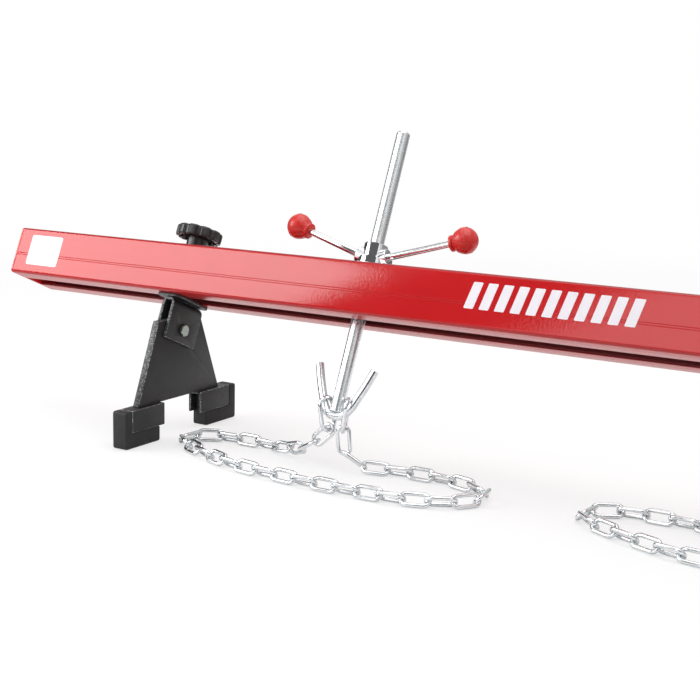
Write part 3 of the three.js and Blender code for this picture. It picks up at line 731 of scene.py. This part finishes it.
for name, turn in (("front_channel", 0), ("rear_channel", math.pi)):
    bm = drawn_out(creased, -half_run, half_run, "x")
    # Painted shade: faces in the channels, on the slot's edges, below and on the top edges.
    painted_shade = bm.faces.layers.float.new("painted_shade")
    for face in bm.faces:
        middle = face.calc_center_median() / MM
        level = WALL - SLIVER < middle.z < BEAM_HEIGHT - WALL + SLIVER
        within = level and abs(middle.x) < half_run - 1 and middle.y > -FACE + WALL - SLIVER
        on_lip_edge = middle.y > -SLOT_HALF - SHEET_EDGE - SLIVER
        face[painted_shade] = 1.0 if within or on_lip_edge else 0.0
        if middle.z < CORNER and face.normal.z < -TILTED:
            face[painted_shade] = UNDER_SHADE_SHARE
        if middle.z > BEAM_HEIGHT - CORNER and TILTED < face.normal.z < FLAT:
            face[painted_shade] = TOP_EDGE_SHADE_SHARE
    laid(bm, beam_place @ Matrix.Rotation(turn, 4, "Z"))
    settled(name.replace("channel", "rail"), bm, red_enamel, [name])
print("channel outline points", len(creased))

# %% End plates
plate_corners = ((-FACE, 0), (FACE, 0), (FACE, BEAM_HEIGHT), (-FACE, BEAM_HEIGHT))
plate_outline = rounded([(*corner, CORNER) for corner in plate_corners], 8)
for side, sign in SIDES:
    outer = sign * BEAM_LENGTH / 2
    bm = drawn_out(plate_outline, outer - sign * END_PLATE, outer, "x")
    soften(bm, SHEET_EDGE)
    settled(side + "_end_cap", laid(bm, beam_place), red_enamel, [side + "_end_plate"])

# %% [markdown]
# ### Plain white film on the front face
#
# A blank label with rounded corners sits at the left end. Right of the middle, a row of slanted
# bars repeats at an even step, so Geometry Nodes place one bar on a line of points.

# %% Blank label
FILM = 0.15
LABEL_CORNERS = ((-728, 12), (-676, 12), (-676, 51), (-728, 51))
label_outline = rounded([(*corner, 3) for corner in LABEL_CORNERS], 5)
bm = drawn_out(label_outline, -FACE - FILM, -FACE + FILM, "y")
settled("blank_label", laid(bm, beam_place), white_film, [], body="beam")


# %% A helper for Geometry Nodes
class Recipe(Graph):
    """A Geometry Nodes tree with named inputs for its sizes."""

    def __init__(self, name, **sizes):
        super().__init__(bpy.data.node_groups.new(name, "GeometryNodeTree"))
        face = self.tree.interface
        face.new_socket("Geometry", in_out="INPUT", socket_type="NodeSocketGeometry")
        for key, value in sizes.items():
            kind = "NodeSocketInt" if isinstance(value, int) else "NodeSocketFloat"
            face.new_socket(key, in_out="INPUT", socket_type=kind).default_value = value
        face.new_socket("Finish", in_out="INPUT", socket_type="NodeSocketMaterial")
        face.new_socket("Geometry", in_out="OUTPUT", socket_type="NodeSocketGeometry")
        self.given = self.node("NodeGroupInput")

    def size(self, name):
        return self.given.out(name)

    def circle(self, radius):
        sockets = {"Resolution": self.size("Sides"), "Radius": radius}
        return self.node("GeometryNodeCurvePrimitiveCircle", {}, sockets)

    def sweep(self, curve, section):
        sockets = {"Curve": curve, "Profile Curve": section, "Fill Caps": True}
        return self.node("GeometryNodeCurveToMesh", {}, sockets)

    def close(self, shape):
        """Gives the finish to the shape and makes it the tree's result."""
        solid = self.node("GeometryNodeRealizeInstances", {}, {0: shape})
        finish = self.given.out("Finish")
        dressed = self.node("GeometryNodeSetMaterial", {}, {0: solid, "Material": finish})
        self.node("NodeGroupOutput", {}, {0: dressed})

    def made(self, bm, material, **sizes):
        """Runs the tree on a shape and returns the plain mesh."""
        obj = loose_object(bm)
        maker = obj.modifiers.new("maker", "NODES")
        maker.node_group = self.tree
        given = dict(sizes, Finish=material)
        for item in self.tree.interface.items_tree:
            if item.in_out == "INPUT" and item.name in given:
                maker[item.identifier] = given[item.name]
        return applied(obj)


# %% Slanted bars
BAR_LEFT = -105
BAR_CORNERS = ((0, 20), (11, 20), (17, 49), (6, 49))
BAR_STEP = 17.5
bars = Recipe("bars_in_a_row", Count=11, Step=BAR_STEP * MM)
row = bars.node("GeometryNodeMeshLine", {"mode": "OFFSET"}, {"Count": bars.size("Count")})
step = bars.node("ShaderNodeCombineXYZ", {}, {0: bars.size("Step")})
bars.tree.links.new(step.socket, row.socket.node.inputs["Offset"])
placed = bars.node("GeometryNodeInstanceOnPoints", {}, {"Points": row, "Instance": bars.given})
bars.close(placed)
bar_outline = rounded([(BAR_LEFT + across, up, 1) for across, up in BAR_CORNERS], 3)
bar = drawn_out(bar_outline, -FACE - FILM, -FACE + FILM, "y")
mesh = bars.made(bar, white_film)
mesh.transform(beam_place)
placed_piece("slanted_bars", mesh, white_film, [], body="beam")
print("faces of the bars", len(mesh.polygons))

# %% [markdown]
# ## Threads
#
# A thread is a ridge that climbs round a core. The core is a turned piece, and Geometry Nodes
# lay the ridge on it: a spiral, a section with a flat crest and slanted flanks, and a run-out at
# both ends where the section shrinks into the core.


# %% Thread recipe
# The ridge's widths are shares of the pitch, and its run-out is counted in turns.
FOOT_WIDTH = 0.92
CREST_WIDTH = 0.5
RUN_OUT_FROM = 0.05
THREAD_DEPTH = 0.5
thread = Recipe(
    "thread_on_a_core", Radius=0.008, Depth=0.0008, Pitch=0.002, Turns=100.0, Base=0.0, Steps=20
)
turns, pitch, depth = thread.size("Turns"), thread.size("Pitch"), thread.size("Depth")
root = thread.size("Radius") - depth
spiral = thread.node(
    "GeometryNodeCurveSpiral",
    {},
    {
        "Resolution": thread.size("Steps"),
        "Rotations": turns,
        "Start Radius": root,
        "End Radius": root,
        "Height": turns * pitch,
    },
)
along = thread.node("GeometryNodeSplineParameter", out="Factor") * turns
to_end = turns - along
run_out = (along + RUN_OUT_FROM).at_most(to_end + RUN_OUT_FROM).at_most(1.0)
sized = thread.node("GeometryNodeSetCurveRadius", {}, {"Curve": spiral, "Radius": run_out})
upright = thread.node("GeometryNodeSetCurveNormal", {"mode": "Z_UP"}, {"Curve": sized})
flat_section = thread.node(
    "GeometryNodeCurvePrimitiveQuadrilateral",
    {"mode": "TRAPEZOID"},
    {
        "Bottom Width": pitch * FOOT_WIDTH,
        "Top Width": pitch * CREST_WIDTH,
        "Offset": 0.0,
        "Height": depth * 2,
    },
)
section = thread.node(
    "GeometryNodeTransform", {}, {"Geometry": flat_section, "Rotation": (0, 0, math.pi / 2)}
)
ridge = thread.sweep(upright, section)
lift = thread.node("ShaderNodeCombineXYZ", {}, {2: thread.size("Base")})
lifted = thread.node("GeometryNodeTransform", {}, {"Geometry": ridge, "Translation": lift})
both = thread.node("GeometryNodeJoinGeometry", {}, {0: lifted})
thread.tree.links.new(thread.given.socket, both.socket.node.inputs[0])
thread.close(both)


def threaded(core, material, radius, depth, pitch, start, end):
    """The core with a ridge from one height to another, all in millimetres."""
    return thread.made(
        core,
        material,
        Radius=radius * MM,
        Depth=depth * MM,
        Pitch=pitch * MM,
        Turns=(end - start) / pitch,
        Base=start * MM,
    )


# %% [markdown]
# ## Feet
#
# A foot is a trapezoid plate with two shoes welded under it, each holding a rubber pad. The
# plate hangs on a pin in a folded clevis, and the clevis turns on its base plate under the
# beam. Flat pieces keep the CAD shape and get softened, worn edges.

# %% Foot plates, shoes and pads
PLATE_EDGE = 0.7
SHOE_EDGE = 0.8
PAD_EDGE = 1.2
for side, _ in SIDES:
    bm = soften(cad_copy(side + "_foot_plate"), PLATE_EDGE)
    with_cut_faces(bm, lambda normal: abs(normal.x) < 0.3)
    settled(side + "_foot_blade", bm, black_paint, [side + "_foot_plate"])
    for end in ("front", "rear"):
        shoe = f"{side}_{end}_shoe"
        bm = soften(cad_copy(shoe), SHOE_EDGE, 3)
        settled(shoe + "_steel", bm, black_paint, [shoe])
        pad = f"{side}_{end}_rubber_pad"
        bm = soften(cad_copy(pad), PAD_EDGE, 3)
        settled(f"{side}_{end}_pad_rubber", bm, black_rubber, [pad])

# %% Clevises
CLEVIS_HALF = 9
CLEVIS_GAP_HALF = 5
WEB_TOP = -3.6
CLEVIS_SHEET = 4
CHEEK_BOTTOM = -PIN_DROP - 16
CLEVIS_WIDTH_HALF = 29
FOLD_INNER = 2.2
FOLD_OUTER = 8.6
PIN_HOLE = 4.3
folded = rounded(
    [
        (-CLEVIS_HALF, CHEEK_BOTTOM, 0),
        (-CLEVIS_GAP_HALF, CHEEK_BOTTOM, 0),
        (-CLEVIS_GAP_HALF, WEB_TOP - CLEVIS_SHEET, FOLD_INNER),
        (CLEVIS_GAP_HALF, WEB_TOP - CLEVIS_SHEET, FOLD_INNER),
        (CLEVIS_GAP_HALF, CHEEK_BOTTOM, 0),
        (CLEVIS_HALF, CHEEK_BOTTOM, 0),
        (CLEVIS_HALF, WEB_TOP, FOLD_OUTER),
        (-CLEVIS_HALF, WEB_TOP, FOLD_OUTER),
    ],
    8,
)
for side, sign in SIDES:
    bracket = drawn_out(folded, -CLEVIS_WIDTH_HALF, CLEVIS_WIDTH_HALF, "y")
    hole = turned(plain_bar(PIN_HOLE, -CLEVIS_HALF - 3, CLEVIS_HALF + 3), 32)
    laid(hole, Matrix.Translation((0, 0, -PIN_DROP * MM)) @ Matrix.Rotation(math.pi / 2, 4, "Y"))
    bm = soften(combined("DIFFERENCE", bracket, hole), SHEET_EDGE)
    with_cut_faces(bm, lambda normal: abs(normal.y) > 0.7)
    laid(bm, on_beam(sign * FOOT_X))
    settled(side + "_folded_clevis", bm, black_paint, [side + "_clevis_bracket"])
    bm = soften(cad_copy(side + "_clevis_base"), SHEET_EDGE)
    settled(side + "_clevis_plate", bm, black_paint, [side + "_clevis_base"])


# %% [markdown]
# ### Hexagons
#
# Bolt heads and nuts are hexagonal bars whose corners are turned off at the ends. Here a hexagon
# is intersected with a turned blank, which leaves the curved chamfer that every real nut has.


# %% Hexagon maker
CHAMFER_CIRCLE = 0.96
CHAMFER_ANGLE = math.radians(30)


def hexagon(width, start, end, chamfers=(True, True), turn=0.0):
    """A hexagonal bar. The width is across its flats, and chamfers tells which ends are turned."""
    corner = width / 2 / math.cos(math.pi / 6)
    angles = [turn + math.pi / 3 * i for i in range(6)]
    outline = [(corner * math.cos(a), corner * math.sin(a)) for a in angles]
    bm = drawn_out(outline, start, end, "z")
    bite = corner - width / 2 * CHAMFER_CIRCLE
    drop = bite * math.tan(CHAMFER_ANGLE) + 0.05
    clear = [(corner + 1, start), (corner + 1, end)]
    profile = [(0, start)]
    profile += [(corner - bite, start), (corner + 0.02, start + drop)] if chamfers[0] else clear[:1]
    profile += [(corner + 0.02, end - drop), (corner - bite, end)] if chamfers[1] else clear[1:]
    profile += [(0, end)]
    return combined("INTERSECT", bm, turned(profile, 96))


# %% Pivot bolts and nuts
HEAD_FROM = CLEVIS_HALF + SEAM
HEAD_HEIGHT = 4
NUT_HEIGHT = 8
ACROSS_FLATS = 13
HEAD_COLLAR = 5.8
BOLT = 3.9
for side, sign in SIDES:
    across = on_beam(sign * FOOT_X, 0, -PIN_DROP) @ Matrix.Rotation(math.pi / 2, 4, "Y")
    head = hexagon(ACROSS_FLATS, HEAD_FROM + 0.4, HEAD_FROM + HEAD_HEIGHT, (False, True))
    collar = turned(plain_bar(HEAD_COLLAR, HEAD_FROM, HEAD_FROM + 1), 48)
    tail = -HEAD_FROM - NUT_HEIGHT - 2
    profile = [(0, tail), (3.2, tail), (BOLT, tail + 1), (BOLT, HEAD_FROM + 2), (0, HEAD_FROM + 2)]
    shank = turned(eased(profile, 0.2), 32)
    bm = laid(combined("UNION", head, collar, shank), across)
    settled(side + "_pivot_pin", bm, dull_zinc, [side + "_pivot_bolt"], 30)
    body = hexagon(ACROSS_FLATS, -HEAD_FROM - NUT_HEIGHT, -HEAD_FROM)
    bore = turned(plain_bar(PIN_HOLE, tail - 1, 0), 32)
    bm = laid(combined("DIFFERENCE", body, bore), across)
    settled(side + "_pivot_lock_nut", bm, dull_zinc, [side + "_pivot_nut"], 30)

# %% [markdown]
# ## Clamp knobs
#
# A knob above each foot pulls a stud up and clamps the clevis to the beam. Its disc is turned,
# with a hollow underside, and a swell function pulls the rim in at the ten round finger flutes.

# %% Clamp knobs, washers and studs
WASHER_FROM = BEAM_HEIGHT + SEAM
WASHER_TO = WASHER_FROM + 4
WASHER_BORE = 5.5
WASHER_RIM = 23
HUB_FROM = WASHER_TO + SEAM
DISC_FROM = HUB_FROM + 12
DISC_TO = DISC_FROM + 13
LOBES = 10
FLUTE_RADIUS = 4.6
FLUTE_DEPTH = 3.1
FLUTES_FROM = 19
FLUTES_FULL = 26
RIM = 28
STUD = 5
STUD_CORE = 4.2
STUD_PITCH = 1.5


def lobed(radius, height, angle):
    """Pulls the rim in at the round flutes. Towards the middle of the disc they fade out."""
    near_rim = (radius - FLUTES_FROM) / (FLUTES_FULL - FLUTES_FROM)
    step = 2 * math.pi / LOBES
    aside = (angle % step - step / 2) * RIM
    cut = math.sqrt(max(FLUTE_RADIUS**2 - aside**2, 0.0)) - (FLUTE_RADIUS - FLUTE_DEPTH)
    return radius - min(max(near_rim, 0.0), 1.0) * max(cut, 0.0)


knob_profile = (
    [(0, HUB_FROM)]
    + [(11.6, HUB_FROM), (12.6, HUB_FROM + 0.8), (13.2, DISC_FROM + 5.4), (14.2, DISC_FROM + 6.4)]
    + [(21, DISC_FROM + 6.2), (22.4, DISC_FROM + 5), (23.2, DISC_FROM + 0.3), (26.6, DISC_FROM)]
    + [(27.7, DISC_FROM + 0.8), (RIM, DISC_FROM + 3), (RIM, DISC_TO - 2.4), (27.5, DISC_TO - 0.8)]
    + [(26.2, DISC_TO), (22, DISC_TO), (20.4, DISC_TO - 0.5), (17.5, DISC_TO - 0.6)]
    + [(15.6, DISC_TO + 0.2), (9, DISC_TO + 1.1), (0, DISC_TO + 1.5)]
)
for side, sign in SIDES:
    place = on_beam(sign * FOOT_X - STUD_OFFSET)
    bm = laid(turned(eased(knob_profile, 0.5), 240, lobed), place)
    settled(side + "_finger_knob", bm, black_plastic, [side + "_clamp_knob"], 50)
    bm = laid(washer(WASHER_BORE, WASHER_RIM, WASHER_FROM, WASHER_TO), place)
    settled(side + "_wide_washer", bm, bright_zinc, [side + "_clamp_washer"])
    core = turned(eased(plain_bar(STUD_CORE, -3.3, HUB_FROM + 15.7), 0.2), 32)
    run = (-3.1, HUB_FROM + 15)
    mesh = threaded(core, bright_zinc, STUD, THREAD_DEPTH, STUD_PITCH, *run)
    mesh.transform(place)
    placed_piece(side + "_threaded_stud", mesh, bright_zinc, [side + "_clamp_stud"])

# %% [markdown]
# ## Spindles
#
# Each spindle is one long threaded rod. The thread has a two millimetre pitch and stops just
# below the beam, where the plain shank goes on down to the hook.

# %% Spindles
SPINDLE_TOP = 226
THREAD_END = -22
HOOK_DROP = 108.5
ROD_HALF = 4.75
SHANK = 7.6
SPINDLE = 8
SPINDLE_PITCH = 2
for side, sign in SIDES:
    low_end = -HOOK_DROP + ROD_HALF - 0.4
    profile = [(0, low_end), (7.2, low_end), (SHANK, low_end + 1), (SHANK, THREAD_END)]
    profile += [(SHANK, SPINDLE_TOP - 1.8), (6.5, SPINDLE_TOP), (0, SPINDLE_TOP)]
    core = turned(eased(profile, 0.3), 48)
    run = (THREAD_END + 1, SPINDLE_TOP - 2.4)
    mesh = threaded(core, rolled_zinc, SPINDLE, THREAD_DEPTH, SPINDLE_PITCH, *run)
    mesh.transform(on_beam(sign * HOOK_X))
    placed_piece(side + "_threaded_spindle", mesh, rolled_zinc, [side + "_spindle"])
print("spindle triangles", sum(len(p.vertices) - 2 for p in mesh.polygons))

# %% [markdown]
# ## Nuts, arms and balls
#
# The spindle nut is chromed: a wide hexagon below, a narrower one above, both turned from round
# bar so that only short flats are left of their sides, and two round bosses that hold the arms.
# The parts are softened first and then united, so the seams between them stay crisp, as on a
# welded and plated piece. Each arm ends in a ball with a collar and a parting ridge.

# %% Spindle nuts and thrust washers
THRUST_FROM = BEAM_HEIGHT + SEAM
THRUST_TO = THRUST_FROM + 4
THRUST_RIM = 24
NUT_FROM = THRUST_TO + SEAM
FLANGE_TO = NUT_FROM + 9.5
NUT_TO = NUT_FROM + 26
ARM_TILT = math.radians(16.9)
ARM_HUB = BEAM_HEIGHT + 11.8
NUT_TURN = math.radians(21)
BOSS = 10.2
BOSS_TO = 19
BOSS_REACH = 21.5
BALL_REACH = 107.9
BORE = 8.3
# Each hexagon's width across its flats, the radius of its round bar, and its top.
HEXAGONS = ((32, 17, FLANGE_TO), (25, 13.4, NUT_TO))


def along_arm(reach, direction):
    """The place on an arm's axis at a level distance from the spindle, with Z along the arm."""
    height = ARM_HUB + reach * math.tan(ARM_TILT)
    turn = Matrix.Rotation(direction * (math.pi / 2 - ARM_TILT), 4, "Y")
    return Matrix.Translation((direction * reach * MM, 0, height * MM)) @ turn


for side, sign in SIDES:
    place = on_beam(sign * HOOK_X)
    bm = laid(washer(BORE, THRUST_RIM, THRUST_FROM, THRUST_TO), place)
    settled(side + "_thrust_plate", bm, bright_zinc, [side + "_thrust_washer"])
    shapes = []
    for width, radius, top in HEXAGONS:
        blank = turned(eased(plain_bar(radius, NUT_FROM, top), 1.0), 96)
        flats = hexagon(width, NUT_FROM, top, (False, False), NUT_TURN)
        shapes.append(combined("INTERSECT", flats, blank))
    boss_end = BOSS_TO / math.cos(ARM_TILT)
    for direction in (-1, 1):
        profile = eased(plain_bar(BOSS, 0, boss_end), 1.4, 5)
        shapes.append(laid(turned(profile, 64), along_arm(0, direction)))
    under = drawn_out([(-40, -40), (40, -40), (40, 40), (-40, 40)], NUT_FROM - 30, NUT_FROM, "z")
    profile = [(0, 40), (BORE, 40), (BORE, NUT_TO - 0.8)]
    profile += [(BORE + 2, NUT_TO + 1.2), (0, NUT_TO + 1.2)]
    nut = combined("DIFFERENCE", combined("UNION", *shapes), under, turned(profile, 64))
    settled(side + "_chrome_nut", laid(nut, place), chrome, [side + "_spindle_nut"], 12)

# %% Arms and balls
BALL_HALF = 15
BALL_STEPS = 30
RIDGE = 4.5
HOLLOW = 0.6
HOLLOW_LENGTH = 12
ARM = 4
ball_profile = [(0, -16.6), (8.5, -16.6), (9.2, -16), (9.2, -13.6), (8.1, -12.7), (8.4, -11.8)]
for step in range(9, BALL_STEPS):
    angle = math.pi * step / BALL_STEPS
    along = -BALL_HALF * math.cos(angle)
    out = BALL_HALF * math.sin(angle)
    if along < 0:
        out -= HOLLOW * math.sin(math.pi * along / HOLLOW_LENGTH) ** 2
    if abs(along - RIDGE) < 0.7:
        ball_profile += [(out + 0.2, along - 1), (out + 0.5, along - 0.5)]
        ball_profile += [(out + 0.4, along + 0.4), (out - 0.25, along + 0.9)]
    else:
        ball_profile.append((out, along))
ball_profile.append((0, BALL_HALF))
arm_length = (BALL_REACH - BOSS_REACH) / math.cos(ARM_TILT)
for side, sign in SIDES:
    for name, direction in (("outer", sign), ("inner", -sign)):
        place = on_beam(sign * HOOK_X) @ along_arm(BOSS_REACH, direction)
        rod_end = arm_length - 5
        rod = turned(eased(plain_bar(ARM, -8.7, rod_end), 0.4), 32)
        node = f"{side}_{name}_arm"
        settled(node + "_rod", laid(rod, place), chrome, [node])
        place = on_beam(sign * HOOK_X) @ along_arm(BALL_REACH, direction)
        node = f"{side}_{name}_ball"
        bm = laid(turned(ball_profile, 48), place)
        settled(node + "_grip", bm, red_plastic, [node], 50)
print("ball profile points", len(ball_profile))

# %% [markdown]
# ## Double hooks
#
# One round rod is bent up at both ends under the spindle. Geometry Nodes sweep a circle along a
# smooth line through a few points, and the circle shrinks at the cut ends for their chamfer.

# %% Hook recipe
CUT_END = 0.86
swept = Recipe("rod_on_a_path", Radius=ROD_HALF * MM, Points=64, Sides=24)
path = swept.node("GeometryNodeMeshToCurve", {}, {0: swept.given})
smooth = swept.node("GeometryNodeCurveSplineType", {"spline_type": "CATMULL_ROM"}, {0: path})
even = swept.node("GeometryNodeResampleCurve", {}, {"Curve": smooth, "Count": swept.size("Points")})
along = swept.node("GeometryNodeSplineParameter", out="Factor")
from_end = along.at_most(1 - along) * swept.size("Points")
thick = (from_end * (1 - CUT_END) + CUT_END).at_most(1.0)
sized = swept.node("GeometryNodeSetCurveRadius", {}, {"Curve": even, "Radius": thick})
swept.close(swept.sweep(sized, swept.circle(swept.size("Radius"))))

# %% Hooks
HOOK_REACH = 36
HOOK_RISE = 56
BENDS = ((1, 1), (0.82, 0.69), (0.61, 0.38), (0.46, 0.18), (0.25, 0.035), (0, 0))
for side, sign in SIDES:
    path = bmesh.new()
    one = [(-out * HOOK_REACH, up_share * HOOK_RISE - HOOK_DROP) for out, up_share in BENDS]
    both = one + [(-x, z) for x, z in reversed(one[:-1])]
    verts = [path.verts.new((x * MM, 0, z * MM)) for x, z in both]
    for first, second in zip(verts, verts[1:]):
        path.edges.new((first, second))
    mesh = swept.made(path, bright_zinc)
    mesh.transform(on_beam(sign * HOOK_X))
    placed_piece(side + "_bent_hook", mesh, bright_zinc, [side + "_double_hook"])

# %% [markdown]
# ## Chains
#
# A chain hangs from the two rings on each hook and lies in a loop on the floor. The tables give
# every link's middle and the way it points, so that each one hooks through the next. Geometry
# Nodes build one rounded link and place it on all the points.

# %% Where the links lie
# Middle x, y, z in millimetres from the spindle's foot, then heading, rise and roll in degrees.
FROM_LEFT_RING = (
    (-11.56, -26.75, 61.93, 0, -82, 15),
    (-15.67, -27.25, 37.46, -175.7, -42.5, -78.3),
    (-36.68, -24.26, 22.48, 162.1, -27.2, -12.2),
    (-59.57, -15.68, 12.94, 156.8, -15.4, 64.9),
    (-83.98, -7.3, 8.19, 165.2, -5.4, 145.5),
    (-109.81, -2.63, 6.91, 174.3, -0.4, -135),
)
TO_RIGHT_RING = (
    (47.18, -17.59, 7.17, -162.1, 2.1, 135),
    (23.33, -24.59, 14.21, -165.1, 29.8, -152.9),
    (10.73, -26.82, 35.03, 168.3, 82.6, -57),
    (12.23, -26.52, 63.36, 180, -82, 158),
)
# The links between them lie on the floor: x, y and heading. Each is rolled a quarter turn more.
LYING = (
    (-136.1, -1.47, -179.3), (-162.35, -3.45, -172.6), (-186.29, -10.58, -151.4),
    (-201.4, -29.64, -97.2), (-190.61, -51.18, -41.6), (-168.56, -65.26, -25.2),
    (-144.46, -75.89, -23), (-119.91, -85.47, -19.4), (-94.68, -92.95, -13.4),
    (-69.81, -97.47, -7.5), (-43.6, -100.11, -4.3), (-17.3, -101.82, -3.3),
    (9.02, -103.04, -1.9), (35.36, -103.51, -0.1), (61.7, -102.97, 2.5),
    (88.01, -101.55, 3.6), (113.19, -99.15, 7.7), (138.82, -93.39, 18.3),
    (162.98, -83.03, 28.4), (182.79, -66.39, 54.8), (188.99, -42.08, 98.5),
    (174.19, -22.4, 148.4), (150.11, -12.22, 166.3), (125.13, -8.79, 177),
    (98.79, -8.36, -178.7), (72.62, -10.91, -170),
)
LYING_HEIGHT = 6.85
ROLLS = (-45, 45, 135, -135)
lying = [(x, y, LYING_HEIGHT, h, 0, ROLLS[i % 4]) for i, (x, y, h) in enumerate(LYING)]
LINKS = (*FROM_LEFT_RING, *lying, *TO_RIGHT_RING)


def link_turn(heading, rise, roll):
    """Euler angles of a link that points along its heading and rise, rolled about that line."""
    h, r, q = (math.radians(angle) for angle in (heading, rise, roll))
    lengthways = Vector((math.cos(h) * math.cos(r), math.sin(h) * math.cos(r), math.sin(r)))
    level_side = Vector((-math.sin(h), math.cos(h), 0))
    across = level_side * math.cos(q) + lengthways.cross(level_side) * math.sin(q)
    basis = Matrix((lengthways, across, lengthways.cross(across))).transposed()
    return Vector(basis.to_euler("XYZ"))


# %% Link recipe
# The room inside a link or ring, and its wire.
LINK = {"Length": 26 * MM, "Width": 8.5 * MM, "Wire": 4.5 * MM, "Bend": 6, "Sides": 12}
RING = {"Length": 32 * MM, "Width": 14 * MM, "Wire": 5 * MM, "Bend": 8, "Sides": 14}

chain = Recipe("links_on_points", **LINK)
wire = chain.size("Wire")
frame_shape = chain.node(
    "GeometryNodeCurvePrimitiveQuadrilateral",
    {"mode": "RECTANGLE"},
    {"Width": chain.size("Length") + wire, "Height": chain.size("Width") + wire},
)
bend = (chain.size("Width") + wire) * 0.4999
oval = chain.node(
    "GeometryNodeFilletCurve",
    {"mode": "POLY"},
    {"Curve": frame_shape, "Count": chain.size("Bend"), "Radius": bend},
)
link = chain.sweep(oval, chain.circle(wire * 0.5))
link = chain.node("GeometryNodeMergeByDistance", {}, {"Geometry": link, "Distance": MM / 50})
turn = chain.node(
    "GeometryNodeInputNamedAttribute", {"data_type": "FLOAT_VECTOR"}, {"Name": "turn"}
)
turn = chain.node("FunctionNodeEulerToRotation", {}, {0: turn})
links = chain.node(
    "GeometryNodeInstanceOnPoints", {}, {"Points": chain.given, "Instance": link, "Rotation": turn}
)
chain.close(links)


def strung(rows, sizes):
    """A mesh of links or rings, one for each row of the table."""
    bm = bmesh.new()
    turns = bm.verts.layers.float_vector.new("turn")
    for x, y, z, heading, rise, roll in rows:
        vert = bm.verts.new(Vector((x, y, z)) * MM)
        vert[turns] = link_turn(heading, rise, roll)
    return chain.made(bm, bright_zinc, **sizes)


# %% Chains and end rings
for side, sign in SIDES:
    place = stand_place @ Matrix.Translation((sign * HOOK_X * MM, 0, 0))
    mesh = strung(LINKS[1:-1], LINK)
    mesh.transform(place)
    runs = [f"{side}_chain_run_{i}" for i in range(1, 6)]
    placed_piece(side + "_chain_links", mesh, bright_zinc, runs, 60)
    mesh = strung((LINKS[0], LINKS[-1]), RING)
    mesh.transform(place)
    rings = [side + "_outer_end_ring", side + "_inner_end_ring"]
    placed_piece(side + "_hook_rings", mesh, bright_zinc, rings, 60)
print("links on each chain", len(LINKS) - 2)
